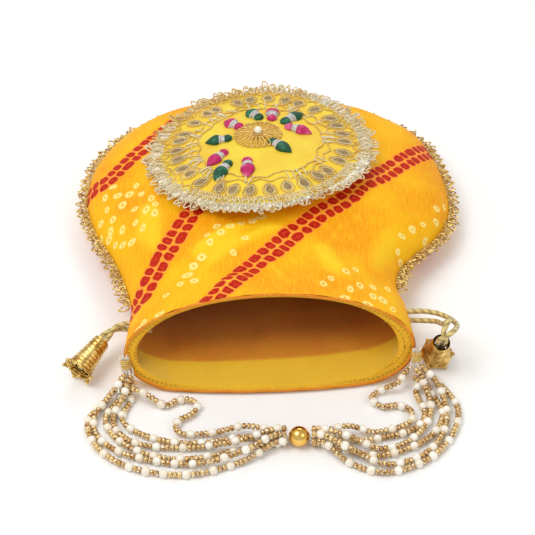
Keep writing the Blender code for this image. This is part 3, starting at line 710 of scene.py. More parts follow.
def outerPanel(name, node, rows, columns, turn, settings, seed):
    # one outer panel, from the mouth to the closed end
    station = np.linspace(0, 12.985, rows)
    angles = evenAngles(columns) + turn
    points = skin(station[:, None], angles[None])
    places = clothPlaces(points, columns // 2).reshape(-1, 2)
    flat = points.reshape(-1, 3)
    rng = np.random.default_rng(seed)
    rise = np.abs(np.sin(np.broadcast_to(angles, (rows, columns)))).ravel()
    where = np.broadcast_to(station[:, None], (rows, columns)).ravel()
    if turn == 0:
        # gathers at the neck, fading into the body, and the larger soft folds
        neck = np.exp(-((where - 1.0) / 1.0) ** 2)
        ripple = sum(np.sin(places[:, 0] / wide + where * bend + phase) * deep
                     for wide, bend, phase, deep in ((2.3, 0.5, 0.4, 0.35), (3.9, -0.6, 1.9, 0.45),
                                                     (6.3, 0.3, 4.0, 0.4)))
        waves = 0.45 * np.sin(places[:, 0] / 7.0 + np.sin(places[:, 1] / 21) * 1.3)
        folds = ridges(flat[:, :2], settings["folds"])
        total = folds + neck * ripple + waves * np.clip(where / 3, 0, 1)
        flat[:, 2] += np.maximum(total, -0.7) * np.minimum(rise * 1.4, 1)
    # fold height, read by the cloth's painted highlight on the fold tops and painted shade in the valleys; a
    # gentle wave on the back panel
    high = folds if turn == 0 else np.sin(places[:, 0] / 17 + places[:, 1] / 29) * 0.6
    piece(name, flat, gridFaces(rows, columns)[:, ::-1], tied, node, uv=places,
          marks={"chain": chainPlace(places, settings["chains"]),
                 "dots": dotGap(places, settings["dots"], rng), "high": high},
          slot="yellow_cloth")


def backDots(rng):
    # rows of dots in slanting bands
    k = np.arange(150)
    band, step = k // 25, k % 25
    a = -104 + band * 38 + step * 4.0 + rng.normal(0, 2.2, 150)
    v = 30 + step * 9.0 + (k % 2) * 5.5 + rng.normal(0, 2.2, 150)
    return np.stack([a, v], axis=1)


back = {"chains": [((-60, 8), (-40, 60), (-8, 120), (30, 180), (44, 226)),
                   ((40, 6), (62, 50), (88, 96), (106, 130)),
                   ((-104, 96), (-84, 136), (-60, 180), (-40, 214))],
        "dots": backDots(np.random.default_rng(5)), "folds": []}
outerPanel("front_cloth", "front_panel", front["rows"], front["columns"], 0.0, front, 3)
outerPanel("back_cloth", "back_panel", 170, 170, math.pi, back, 4)
print("outer cloth done")


def liningLook():
    # twill: fine slanting ribs, warmer and darker in their hollows as painted shade, painted highlights on
    # the grain, painted shade deeper inside the pouch and a brighter band of painted light at the mouth
    g = Graph("lining_look")
    place = g.uv()
    rib = g.wave(g.make("Mapping", {"vector_type": "POINT"},
                        {"Vector": place, "Rotation": (0, 0, 0.7)}), 0.42, "X", 0.4)
    drift = g.noise(place, 0.05, 3.0)
    grain = g.noise(place, 1.4, 3.0)
    tone = g.mix(g.step(drift, 0.35, 0.65), srgb(238, 166, 14), srgb(247, 184, 24))
    # painted shade: darker in the hollows of the ribs
    tone = g.mix(g.step(rib, 0.5, 0.1) * 0.35, tone, srgb(206, 122, 8))
    # painted highlight: lighter on the raised grain
    tone = g.mix(g.step(grain, 0.6, 0.78) * 0.4, tone, srgb(255, 214, 70))
    down = g.axes(place)[1]
    # painted shade: darker orange deeper than 14 mm inside the pouch
    tone = g.mix(g.step(down, 14.0, 12.0), g.mix(0.6, tone, srgb(216, 118, 4)), tone)
    # painted light: a bright yellow band within about 13 mm of the mouth
    tone = g.mix(g.step(down, 13.0, 12.0) * 0.7, tone, srgb(250, 206, 30))
    return g.done({"Base Color": tone, "Roughness": grain * 0.1 + 0.78,
                   "Sheen Weight": 0.2,
                   "Normal": g.bump(rib * 0.7 + grain * 0.5, 0.35)})


def facingWidth(angle):
    # the turned-in edge is widest at the mouth's corners, most of all at the right one
    side = np.where(np.cos(angle) > 0, 6.5, 4.0)
    return 0.8 + side * np.abs(np.cos(angle)) ** 4


def pouchLining():
    rows, half = 110, 84
    station = np.linspace(0.03, 12.9, rows)
    ring = evenAngles(half)[:-1]
    angles = np.concatenate([ring, ring + math.pi])
    points = skin(station[:, None], angles[None],
                  1.9 + facingWidth(angles)[None] * np.exp(-(station[:, None] / 0.45) ** 2))
    places = clothPlaces(points, half // 2)
    flat = points.reshape(-1, 3)
    sag = np.sin(places[..., 0] / 9 + places[..., 1] / 30) * 0.5 + np.sin(
        places[..., 0] / 23 - places[..., 1] / 17) * 0.7
    rise = np.sin(np.broadcast_to(angles, sag.shape))
    sag = sag * np.abs(rise) * np.clip(station[:, None] / 1.5, 0, 1)
    flat[:, 2] += np.where(rise < 0, sag.clip(-0.4, 1.4), sag.clip(-1.4, 0.1)).ravel()
    piece("lining_cloth", flat, gridFaces(rows, len(angles), closed=True), liningLook(),
          "lining", uv=places, slot="lining_cloth")


def hemLook():
    g = Graph("hem_look")
    crinkle = g.noise(g.uv((0.8, 0.3, 1)), 1.3, 3.0)
    patch = g.noise(g.uv((0.05, 0.2, 1)), 1.0, 2.0)
    tone = g.mix(g.step(patch, 0.42, 0.58), srgb(254, 192, 22), srgb(252, 160, 30))
    # painted shade: orange in the hollows of the crinkles
    tone = g.mix(g.step(crinkle, 0.3, 0.7) * 0.5, srgb(226, 128, 14), tone)
    return g.done({"Base Color": tone, "Roughness": crinkle * 0.2 + 0.55,
                   "Normal": g.bump(crinkle, 0.5)})


def facingLook():
    # turned-in cloth with two rows of short stitches
    g = Graph("facing_look")
    along, out, _ = g.axes(g.uv())
    dash = g.step(g.math("SINE", along * 2.4), -0.2, 0.2)
    row = g.math("MAXIMUM", g.step(g.math("ABSOLUTE", out - 1.4), 0.45, 0.2),
                 g.step(g.math("ABSOLUTE", out - 4.2), 0.45, 0.2)) * dash
    grain = g.noise(g.place(), 1.2, 3.0)
    tone = g.mix(g.step(grain, 0.35, 0.65), srgb(226, 164, 16), srgb(246, 190, 30))
    tone = g.mix(row * 0.55, tone, srgb(184, 126, 14))
    return g.done({"Base Color": tone, "Roughness": grain * 0.2 + 0.6,
                   "Normal": g.bump(grain * 0.4 - row, 0.4)})


def mouthHem():
    # the folded edge where the outer cloth turns in to the lining
    ring = evenAngles(150)[:-1]
    angles = np.concatenate([ring, ring + math.pi])
    line = skin(0.02, angles, 1.0)
    line[:, 2] += 0.25 * np.sin(np.arange(len(line)) * 0.35)
    points, faces, uv = tubes(line, 0.8, 8, closed=True, lean=np.array([0, 1.0, 0.2]))
    piece("mouth_hem", points, faces, hemLook(), uv=uv, slot="yellow_cloth")
    # the facing between that edge and the lining
    q = np.linspace(0, 1, 12)[:, None]
    face = skin(0.02 + 0.04 * q, angles[None], 1.0 + (facingWidth(angles)[None] + 1.1) * q)
    face[..., 1] -= 0.5 * np.sin(q * math.pi)
    uv = stacked(runOf(line)[None], q * facingWidth(angles)[None])
    piece("mouth_facing", face, gridFaces(12, len(angles), closed=True), facingLook(), uv=uv,
          slot="lining_cloth")


pouchLining()
mouthHem()
print("lining done")


# drawcords, their bell caps and knots
leftEnd = {"side": "left", "rim": (-103.7, -120.0, 10.8), "axis": (0.53, 0.82, 0.20),
           "ways": (((-84.0, -95.2, 20.2),), ((-83.5, -93.8, 16.8),)),
           "station": 1.12, "seam": math.pi}
rightEnd = {"side": "right", "rim": (94.5, -102.5, 6.2), "axis": (0.0, -0.48, 0.875),
            "ways": (((99.0, -115.0, 35.0), (103.5, -104.0, 30.0), (99.0, -92.0, 25.0),
                      (89.0, -86.5, 23.5)),
                     ((94.6, -114.9, 35.6), (97.6, -109.6, 38.4), (99.8, -103.4, 34.0),
                      (97.2, -96.6, 23.8), (92.8, -89.2, 18.6))),
            "station": 0.88, "seam": 0.0}
cap = {"long": 22.0, "rim": 8.6, "top": 4.2, "knot": 4.3, "knotAt": 6.0}


def capFrame(end):
    # the rim's centre, the way to the cords, and two directions across it
    axis = unit(np.array(end["axis"]))
    side = unit(np.cross(axis, up))
    return np.array(end["rim"]), axis, side, np.cross(side, axis)


def capPoints(end, local):
    # from the cap's own frame (x and y across, z from the rim to the cords)
    rim, axis, side, rise = capFrame(end)
    return rim + local[..., :1] * side + local[..., 1:2] * rise + local[..., 2:] * axis


def knotBall(end):
    # a ball wound of two crossing cords: ridges slant over it
    turn = np.linspace(0, math.pi, 26)[1:-1]
    angle = fullTurn(40)
    a, t = np.meshgrid(angle, turn)
    r = cap["knot"] * (0.9 + 0.1 * np.abs(np.sin(2 * a + 3 * t)) ** 0.6)
    local = stacked(r * np.sin(t) * np.cos(a), r * np.sin(t) * np.sin(a),
                      cap["knotAt"] - r * np.cos(t)).reshape(-1, 3)
    local = np.concatenate([local, [[0, 0, cap["knotAt"] - cap["knot"] * 0.9],
                                    [0, 0, cap["knotAt"] + cap["knot"] * 0.9]]])
    uv = np.stack([np.append(a.ravel() * 3, [0, 0]), np.append(t.ravel() * 3, [0, 0])], axis=1)
    return piece(f"knot_{end['side']}", capPoints(end, local),
                 [gridFaces(24, 40, closed=True), *(f[:, ::-1] for f in poleFans(24, 40))],
                 satinCord, f"drawcord_{end['side']}_knot", uv=uv, slot="drawcord_satin")


def bellCap(end, look):
    # spiral ribs over a thin flared bell, six cupped petals and a ball at each petal's tip
    around, rows = 96, 60
    z = np.linspace(cap["long"], 0.4, rows)
    q = 1 - z / cap["long"]
    base = cap["top"] + (6.6 - cap["top"]) * q + 0.9 * q ** 5
    angle = fullTurn(around)
    rib = 0.62 * np.abs(np.sin(z[:, None] * 1.3 + angle * 0.5)) ** 0.8
    r = base[:, None] + rib
    shell = stacked(r * np.cos(angle), r * np.sin(angle), z[:, None])
    inner = shell.copy()[::-1]
    inner[..., :2] *= 1 - 0.7 / np.linalg.norm(inner[..., :2], axis=-1, keepdims=True)
    skinPoints = np.concatenate([shell, inner]).reshape(-1, 3)
    faces = gridFaces(2 * rows, around, closed=True)
    uv = stacked(np.arange(2 * rows)[:, None] * 0.4, angle * 3)
    parts = [(skinPoints, faces[:, ::-1], uv.reshape(-1, 2))]
    rim = stacked(r[-1].mean() * np.cos(angle), r[-1].mean() * np.sin(angle), 0.6)
    parts.append(tubes(rim, 0.6, 8, closed=True))
    # petals: cupped leaves that start on the rim and curl outwards
    u, v = np.meshgrid(np.linspace(0, 1, 9), np.linspace(-1, 1, 9), indexing="ij")
    wide = 3.5 * np.sin(math.pi * np.clip(u * 0.78 + 0.2, 0, 1)) ** 0.7
    for k in range(6):
        turn = tau * k / 6
        reach = 5.9 + 3.6 * np.sin(u * 1.3) - 0.5 * v ** 2
        down = 1.8 - 2.6 * u + 0.7 * (1 - v ** 2) * u
        local = stacked(reach, v * wide, down)
        thick = local + np.array([0.0, 0, 0.5])
        block = np.concatenate([local.reshape(-1, 3), thick.reshape(-1, 3)])
        spin = np.array([[math.cos(turn), -math.sin(turn), 0], [math.sin(turn), math.cos(turn), 0],
                         [0, 0, 1]])
        sheet = gridFaces(9, 9)
        edge = np.concatenate([np.arange(9), np.arange(17, 81, 9), np.arange(79, 71, -1),
                               np.arange(63, 0, -9)])
        after = np.roll(edge, -1)
        wall = np.stack([edge, after, after + 81, edge + 81], axis=1)
        parts.append((block @ spin.T, [sheet, sheet[:, ::-1] + 81, wall[:, ::-1]],
                      np.tile(stacked(u * 6, v * 4).reshape(-1, 2), (2, 1))))
    # a ball at each petal's tip, and one between each two petals
    tip, between = fullTurn(6), fullTurn(6) + tau / 12
    spots = np.concatenate([stacked(9.3 * np.cos(tip), 9.3 * np.sin(tip), -0.6),
                            stacked(7.4 * np.cos(between), 7.4 * np.sin(between), 0.4)])
    p, f = stamped(*ball(1.05, 8, 12), spots, np.broadcast_to(np.eye(3), (12, 3, 3)))
    parts.append((p, f, np.zeros((len(p), 2))))
    points, faces, uv, _ = joined(parts)
    return piece(f"bell_cap_{end['side']}", capPoints(end, points), faces, look,
                 f"{end['side']}_cap", f"{end['side']}_cap", uv=uv, slot="cap_metal")


def twistedCord(name, route, across):
    # two plies wound together: the section is a rounded two-lobed shape that turns
    sides, count = 16, len(route)
    points, faces, uv = tubes(route, across / 2, sides)
    run = runOf(route)
    turn = fullTurn(sides)
    swell = 0.94 + 0.06 * np.abs(np.cos(turn[None] + run[:, None] * 0.75))
    centre = np.repeat(route, sides, axis=0)
    points = centre + (points - centre) * swell.reshape(-1, 1)
    return piece(name, points, faces, satinCord, uv=uv, slot="drawcord_satin")


drawcord = {"across": 3.0, "apart": 1.65, "straight": 27.0, "inside": 9.0, "inset": 3.2,
            "spread": 0.10}


def drawcordEnds(end, capPiece, knotPiece):
    # the two runs of one drawcord between the neck's slit and the knot
    rim, axis, side, _ = capFrame(end)
    hand = 1 if end["side"] == "right" else -1
    low = cap["knotAt"] + cap["knot"] - 0.6
    for label, turn, way in (("upper", 1, end["ways"][0]), ("lower", -1, end["ways"][1])):
        inward = skin(end["station"], end["seam"] + drawcord["spread"] * hand * turn,
                      drawcord["inset"])
        deep = inward - np.array([drawcord["inside"] * hand, 0, 0])
        straight = [rim + side * turn * drawcord["apart"]
                    + axis * (low + (drawcord["straight"] - low) * k / 3) for k in (3, 2, 1, 0)]
        points = [deep, inward] + [np.array(p) for p in reversed(way)] + straight
        route = evenLine(points, 0.6)
        made = twistedCord(f"drawcord_{end['side']}_{label}", route, drawcord["across"])
        [knotPiece, capPiece] if label == "upper" else []
        if label == "upper":
            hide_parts(f"drawcord_{end['side']}")


for end, look in ((leftEnd, capGold), (rightEnd, capDark)):
    drawcordEnds(end, bellCap(end, look), knotBall(end))
print("drawcords done")


# handle fittings
def gatherBall():
    # a polished hollow ball with a small collar at each hole, and the thread through it
    turn = np.linspace(0.33, math.pi - 0.33, 40)
    x = np.concatenate([[-5.0, -5.35, -5.35], -5.5 * np.cos(turn), [5.35, 5.35, 5.0]])
    r = np.concatenate([[1.5, 1.6, 1.95], 5.5 * np.sin(turn), [1.95, 1.6, 1.5]])
    shape, centre = turned(x, r, 48), np.array(handle["bead"])
    block = gridFaces(len(x) + 1, 48, closed=True) % (len(x) * 48)
    piece("gather_ball", shape + centre, block[:, ::-1], goldBall, "gather_bead",
          "gather_bead", uv=shape[:, :2], slot="gold_metal")
    line, angle = np.linspace(-10, 10, 40), fullTurn(5)[:, None]
    lines = stacked(line[None], 0.62 * np.cos(angle), 0.62 * np.sin(angle)) + centre
    points, faces, uv = tubes(lines, 0.48, 6)
    piece("handle_thread_bundle", points, faces, whiteThread, "handle_thread", uv=uv,
          slot="white_thread")


def threadTabs(name, node, half, corner, seed):
    # white threads, bound under a gold cap, from the mouth's corner to the strands
    rng = np.random.default_rng(seed)
    tab, corner = np.array(half["tab"], float), np.array(corner, float)
    count = 11
    start = corner + rng.normal(0, 0.9, (count, 3)) * [1.6, 0.6, 0.6]
    finish = tab + rng.normal(0, 1.5, (count, 3)) * [1.3, 0.8, 0.7]
    q = np.linspace(0, 1, 26)[None, :, None]
    bow = np.sin(q * math.pi) * rng.normal(0, 1.0, (count, 1, 3)) * [1.8, 0.9, 0.8]
    lines = start[:, None] * (1 - q) + finish[:, None] * q + bow
    a = tubes(lines, 0.34, 5)
    wind = np.linspace(0, 1, 60)[:, None]
    way = unit(tab - corner)
    side = unit(np.cross(way, up))
    rise = np.cross(side, way)
    coil = (corner + way * (1.5 + wind * 5.5)
            + 2.5 * (np.cos(wind * tau * 5) * side + np.sin(wind * tau * 5) * rise))
    joinedPiece(name, [a, tubes(coil, 0.55, 6)], [whiteThread, goldWire], node=node,
                slot="white_thread")


gatherBall()
threadTabs("tab_threads_left", "handle_tab_left", leftHandle, (-77.5, -120.5, 22), 21)
threadTabs("tab_threads_right", "handle_tab_right", rightHandle, (81, -114.5, 22), 22)
print("handle fittings done")


# the embroidered patch, built about the origin and set on the pouch
patch = {"centre": (-4.5, 34.5, 49.4), "tilt": 4.0, "radius": 62.0, "thick": 2.4, "dome": 3.6,
         "flower": (-1.4, 5.0), "leaves": 30, "pleats": 118}


def dome(r):
    return patch["dome"] * (1 - np.minimum(r / patch["radius"], 1.05) ** 2)


def onPatch(local):
    # lift by the dome, drape over the pouch's side, tilt, and move into place
    local = np.asarray(local, float)
    x, y = local[..., 0], local[..., 1]
    z = local[..., 2] + dome(np.hypot(x, y)) + 0.060 * x - 0.040 * np.abs(x) - 0.0005 * x ** 2
    a = math.radians(-patch["tilt"])
    return stacked(x, y * math.cos(a) - z * math.sin(a),
                   y * math.sin(a) + z * math.cos(a)) + np.array(patch["centre"])


def polar(r, angle, z=0.0):
    return stacked(r * np.cos(angle), r * np.sin(angle), z)


def patchClothLook():
    g = Graph("patch_cloth_look")
    spot = g.place()
    net = g.wave(g.uv(), 0.55, "X") * g.wave(g.uv(), 0.55, "Y")
    drift = g.noise(spot, 0.04, 3.0)
    grain = g.noise(spot, 0.8, 4.0, 0.6)
    tone = g.mix(g.step(drift, 0.35, 0.65), srgb(252, 208, 10), srgb(255, 226, 34))
    # painted highlight: paler on the raised grain
    tone = g.mix(g.step(grain, 0.62, 0.80) * 0.6, tone, srgb(255, 240, 120))
    # painted shade: darker in the grain's hollows
    tone = g.mix(g.step(grain, 0.40, 0.26) * 0.6, tone, srgb(226, 164, 10))
    return g.done({"Base Color": tone, "Roughness": grain * 0.2 + 0.5,
                   "Sheen Weight": 0.25,
                   "Normal": g.bump(net * 0.3 + grain * 0.8, 0.5)})


def netLook():
    # dull gold net: crossing threads with painted shade in the gaps
    g = Graph("net_look")
    u, v, _ = g.axes(g.uv())
    threads = g.math("MAXIMUM", g.math("SINE", (u + v) * 5.2), g.math("SINE", (u - v) * 5.2))
    drift = g.noise(g.place(), 0.3, 2.0)
    tone = g.mix(g.step(drift, 0.4, 0.6), srgb(176, 144, 92), srgb(200, 170, 118))
    # painted shade: dark in the gaps between the threads
    tone = g.mix(g.step(threads, 0.1, 0.8), srgb(140, 108, 62), tone)
    return g.done({"Base Color": tone, "Roughness": 0.6, "Metallic": 0.1,
                   "Normal": g.bump(threads, 0.2)})


def foilLook():
    # thin crumpled foil: silver on one side of the patch, gold on the others
    g = Graph("foil_look")
    crease = g.cells(g.place(), 0.42, "DISTANCE_TO_EDGE")
    fine = g.noise(g.place(), 0.9, 3.0)
    silver = g.mix(g.step(fine, 0.3, 0.7), srgb(214, 206, 182), srgb(255, 254, 244))
    gold = g.mix(g.step(fine, 0.3, 0.7), srgb(168, 120, 44), srgb(246, 214, 130))
    tone = g.mix(g.mark("silver"), gold, silver)
    return g.done({"Base Color": tone, "Metallic": 0.3,
                   "Roughness": fine * 0.3 + 0.12,
                   "Normal": g.bump(crease + fine * 0.4, 0.7)})


def satinLook(name, dark, mid, light):
    # padded satin: fine threads along the petal, a broad soft painted sheen
    g = Graph(name)
    thread = g.noise(g.uv((0.25, 5.0, 1)), 1.6, 3.0, 0.6)
    drift = g.noise(g.place(), 0.2, 2.0)
    tone = g.mix(g.step(thread, 0.32, 0.62), dark, mid)
    # painted sheen: the light colour in broad soft patches
    tone = g.mix(g.step(drift + thread * 0.4, 0.70, 0.90) * 0.7, tone, light)
    return g.done({"Base Color": tone, "Roughness": thread * 0.2 + 0.30,
                   "Anisotropic": 0.5, "Specular IOR Level": 0.4,
                   "Normal": g.bump(thread, 0.25)})


patchCloth, net, foil = patchClothLook(), netLook(), foilLook()
silverThread = metal("silver_thread", srgb(255, 255, 255), srgb(206, 200, 196), 0.26, 0.8, 0.08,
                     True, 0.3)
greenSatin = satinLook("green_satin_look", srgb(2, 50, 32), srgb(6, 88, 56), srgb(40, 142, 100))
pinkSatin = satinLook("pink_satin_look", srgb(150, 12, 70), srgb(214, 24, 108), srgb(246, 120, 176))


def patchGround():
    # the round of cloth: puckered on top, rounded edge, flat underneath, both poles closed
    rows, around = 74, 220
    rng = np.random.default_rng(8)
    top = np.linspace(0.02, 1, rows) ** 0.9 * (patch["radius"] - 1.0)
    turn = np.linspace(0, math.pi, 9)[1:]
    r = np.concatenate([top, top[-1] + 1.0 * np.sin(turn), top[::-6]])
    z = np.concatenate([np.zeros(rows), -1.1 + 1.1 * np.cos(turn),
                        np.full(len(top[::-6]), -patch["thick"] + 0.2)])
    angle = fullTurn(around)
    puckers = sum(np.sin(angle * n + rng.uniform(0, tau)) * h for n, h in
                  ((5, 0.25), (9, 0.3), (17, 0.2), (31, 0.15)))
    soft = np.clip(r / 60, 0, 1)[:, None] ** 2
    local = polar(r[:, None], angle, z[:, None] + puckers * soft * (z[:, None] > -1.5))
    under = (np.arange(len(r)) >= rows + 8)[:, None]
    local[..., 2] -= under * dome(r[:, None]) * 0.9
    flat = local.reshape(-1, 3)
    flat = np.concatenate([flat, [[0, 0, flat[0, 2]],
                                  [0, 0, -patch["thick"] + 0.2 - 0.9 * patch["dome"]]]])
    piece("patch_ground", onPatch(flat), [gridFaces(len(r), around, closed=True)[:, ::-1],
                                          *poleFans(len(r), around)],
          patchCloth, "patch_disc", uv=flat[:, :2], slot="patch_cloth")


def leafOutline(long, wide, count=28, sharp=1.25, lean=0.22):
    # a closed pointed oval about its middle: its long way is x
    t = fullTurn(count)
    y = wide / 2 * np.sign(np.sin(t)) * np.abs(np.sin(t)) ** sharp * (1 + lean * np.cos(t))
    return stacked(long / 2 * np.cos(t), y, np.zeros(count))


def spun(local, angle, radius, skew=0.0):
    # set shapes (n, points, 3) round the patch: x points outwards
    a = angle[:, None] + np.asarray(skew)[..., None] * np.ones((len(angle), 1))
    x = local[..., 0] * np.cos(a) - local[..., 1] * np.sin(a)
    y = local[..., 0] * np.sin(a) + local[..., 1] * np.cos(a)
    spot = polar(np.broadcast_to(radius, angle.shape), angle)
    return stacked(x + spot[:, None, 0], y + spot[:, None, 1],
                     local[..., 2] + np.zeros_like(x))


def leafRing():
    rng = np.random.default_rng(14)
    count = patch["leaves"]
    angle = tau * np.arange(count) / count + rng.normal(0, 0.025, count)
    long, wide = rng.uniform(11.0, 13.0, count), rng.uniform(7.4, 9.0, count)
    skew = rng.normal(0.0, 0.16, count)
    radius = 51.2 + rng.normal(0, 0.5, count)
    scale = stacked(long, wide, np.ones(count))[:, None]
    shape = leafOutline(1.0, 1.0)[None]
    outer = spun(shape * scale + [0, 0, 0.55], angle, radius, skew)
    inner = spun(shape * scale * [0.70, 0.62, 1] + [0, 0, 0.75], angle, radius, skew)
    a = tubes(onPatch(outer), 0.45, 6, closed=True)
    b = tubes(onPatch(inner), 0.28, 6, closed=True)
    u, v = np.meshgrid(np.linspace(-1, 1, 11), np.linspace(-1, 1, 7), indexing="ij")
    taper = np.maximum(1 - np.abs(u) ** 1.8, 0.02) * (1 + 0.22 * u)
    fill = stacked(u * 0.36, v * taper * 0.33, 0.35 + 0.5 * (1 - v ** 2) * taper).reshape(-1, 3)
    filled = fill[None] * scale
    c = (onPatch(spun(filled, angle, radius, skew)).reshape(-1, 3),
         copies(gridFaces(11, 7)[:, ::-1], count, 77), filled[..., :2].reshape(-1, 2))
    joinedPiece("leaf_ring", [a, b, c], [goldWire, paleWire, net], node="patch_leaf_ring",
                slot="gold_wire")


def wavyWires():
    # wandering wires round the flower's field, with short ties out to the leaves
    rng = np.random.default_rng(17)
    a = fullTurn(420)
    inner = 38.2 + 1.1 * np.sin(a * 7 + 0.6) + 0.9 * np.sin(a * 13 + 2) + 0.4 * np.sin(a * 29)
    outer = 43.0 + 1.5 * (2 / math.pi) * np.arcsin(np.sin(a * 21)) + 0.6 * np.sin(a * 5)
    wires = tubes(onPatch(np.stack([polar(inner, a, 0.45), polar(outer, a, 0.45)])), 0.45, 6,
                  closed=True)
    ties = rng.uniform(0, tau, 54)
    lean = rng.normal(0, 0.05, 54)
    q = np.linspace(0, 1, 8)[None]
    tie = polar(38 + 8.0 * q + rng.normal(0, 0.4, (54, 1)), ties[:, None] + lean[:, None] * q,
                0.5 + 0.5 * np.sin(q * math.pi))
    short = tubes(onPatch(tie), 0.38, 6)
    joinedPiece("zigzag_wires", [wires, short], [goldWire, paleWire],
                node="patch_zigzag_wire", slot="gold_wire")
    # small pointed loops and laid wires between the leaves and the edge
    count = 46
    angle = tau * np.arange(count) / count
    tips, where = np.array([[0, -3.4, 0.5], [3.2, 0, 0.9], [0, 3.4, 0.5]]), np.linspace(0, 2, 17)
    corner = 0.75 * through(tips, where) + 0.25 * tips[np.round(where).astype(int)]
    small = spun(np.broadcast_to(corner, (count, 17, 3)), angle, np.full(count, 56.6))
    laid = -2.3 + np.linspace(0, 1, 64) * 1.9
    q = np.linspace(0, 1, 6)[None]
    rows = polar(56.8 + 4.2 * q, laid[:, None] + 0.02 * q, 0.6 + 0.4 * np.sin(q * math.pi))
    joinedPiece("edge_wires", [tubes(onPatch(small), 0.4, 6), tubes(onPatch(rows), 0.36, 6)],
                [goldWire, paleWire], slot="gold_wire")


def foilEdge():
    # a pleated foil ribbon, with two rows of looped wire that stand out round it
    rng = np.random.default_rng(23)
    rows, around = 9, 944
    q = np.linspace(0, 1, rows)[:, None]
    a = fullTurn(around)
    pleat = np.sin(a * patch["pleats"])
    jag = np.interp(a, np.linspace(0, tau, 237), rng.uniform(-1, 1, 237))
    slow = np.interp(a, np.linspace(0, tau, 41), rng.uniform(-1, 1, 41))
    short = 4.0 * np.exp(-((a - 5.3) / 0.5) ** 2)
    r = 60.6 + q * (8.0 + jag * 1.3 + slow * 0.8 - short)
    z = -0.9 + q * (0.3 + 1.25 * pleat + 0.9 * jag) + 1.3 * np.sin(q * math.pi)
    silver = np.clip(0.75 - 0.9 * np.exp(-((a - 1.9) / 0.6) ** 2) + 0.35 * slow, 0, 1)
    local = polar(r, a + 0.004 * jag * q, z).reshape(-1, 3)
    faces = gridFaces(rows, around, closed=True)[:, ::-1]
    made = piece("foil_ribbon", onPatch(local), faces, foil, uv=local[:, :2],
                 marks={"silver": np.tile(silver, rows)}, slot="gold_lace")
    thick = made.modifiers.new("foil_sheet", "SOLIDIFY")
    thick.thickness, thick.offset = 0.15 * mm, 0.0
    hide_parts("patch_ruffle")
    for number, (start, reach, wide, lift, size) in enumerate(
            ((61.5, 11.5, 3.5, 0.0, 0.40), (60.0, 8.5, 3.9, 1.5, 0.36))):
        count = patch["pleats"] - 6 * number
        angle = tau * (np.arange(count) + 0.5 * number) / count + rng.normal(0, 0.008, count)
        long = (reach * rng.uniform(0.82, 1.08, count)
                * (1 - 0.45 * np.exp(-((angle - 5.3) / 0.5) ** 2)))
        scale = stacked(long, wide * rng.uniform(0.7, 1.1, count), np.ones(count))
        shape = leafOutline(1.0, 1.0, 20) + [0.5, 0, 0]
        loops = np.broadcast_to(shape, (count, 20, 3)) * scale[:, None]
        bend = shape[:, 0]
        rise = rng.normal(0, 1.0, count)[:, None]
        twist = rng.normal(0, 0.5, count)[:, None]
        loops[..., 2] = (lift - 0.6 + bend * (0.7 + rise)
                         + twist * shape[:, 1] * 3.0 * np.sin(bend * math.pi))
        skew = rng.normal(0.12, 0.20, count)
        loops = onPatch(spun(loops, angle, np.full(count, start), skew))
        gold = np.exp(-((angle - 2.0) / 0.8) ** 2) + rng.normal(0, 0.35, count) > 0.42
        joinedPiece(f"looped_wire_{number + 1}",
                    [tubes(loops[gold], size, 6, closed=True),
                     tubes(loops[~gold], size, 6, closed=True)],
                    [goldWire, paleWire], slot="gold_wire")


petals = [("green", (-9, 36), (1, 23)), ("pink", (8, 37), (7, 21)), ("green", (27, 32), (12, 17)),
          ("pink", (32, 7), (15, 15)), ("green", (19, -15), (5, -1)),
          ("pink", (-7, -39), (-8, -17)), ("green", (-27, -38), (-13, -11)), ("pink", (-32, -23), (-20, -9)),
          ("green", (-34, 3), (-17, 4)), ("pink", (-23, 26), (-11, 14))]


def petal(number, colour, tip, root, node):
    # two padded lobes, a long pointed one and a short one, pinched where threads bind them
    tip, root = np.array([*tip, 0.0]), np.array([*root, 0.0])
    long = np.linalg.norm(tip - root)
    if long > 20:
        root, long = tip + (root - tip) * 20 / long, 20.0
    way = (tip - root) / long
    side = np.array([-way[1], way[0], 0])
    q = np.linspace(0, 1, 44)
    waist = 0.40
    inner = 3.3 * np.sin(math.pi * np.clip(q / waist, 0, 1)) ** 0.6
    part = np.clip((q - waist) / (1 - waist), 0, 1)
    outer = 4.9 * np.sin(math.pi * part ** 0.72) ** 0.8 * (1 - 0.25 * part)
    wide = np.where(q < waist, inner, outer)
    pinch = 2.3 * np.exp(-((q - waist) / 0.06) ** 2)
    wide = np.maximum(np.maximum(wide, pinch), 0.12)
    high = np.maximum(0.75 * wide, 0.1) + 0.35 * np.exp(-((q - waist) / 0.06) ** 2)
    around = 28
    turn = fullTurn(around)
    crease = 1 - 0.10 * np.exp(-((turn - math.pi / 2) / 0.28) ** 2)
    line = root[None] + way * (q * long)[:, None]
    lift = np.where(np.sin(turn) > 0, np.sin(turn) * crease, 0.35 * np.sin(turn))
    local = (line[:, None] + side * (np.cos(turn) * wide[:, None])[..., None]
             + up * (0.6 + lift * high[:, None])[..., None])
    last = 43 * around
    ends = np.stack([np.arange(around)[::-1], np.arange(around) + last])
    uv = stacked((q * long)[:, None], turn * 1.3)
    satin = greenSatin if colour == "green" else pinkSatin
    rows, count = 7, 60
    bands = []
    for k in range(rows):
        at = root + way * long * (waist - 0.085 + 0.17 * k / (rows - 1))
        size = float(np.interp(np.linalg.norm(at - root) / long, q, wide)) + 0.25
        tall = float(np.interp(np.linalg.norm(at - root) / long, q, high)) + 0.3
        t = np.linspace(-0.15, math.pi + 0.15, count)
        bands.append(at + side * (np.cos(t) * size)[:, None]
                     + up * (0.6 + np.sin(t) * tall)[:, None])
    threads = tubes(onPatch(np.array(bands)), 0.36, 6, lean=way)
    body = (onPatch(local.reshape(-1, 3)),
            [gridFaces(44, around, closed=True)[:, ::-1], ends[:, ::-1]], uv.reshape(-1, 2))
    made = joinedPiece(f"petal_{colour}_{number}", [body, threads], [satin, silverThread],
                       node=node, slot=f"{colour}_satin")


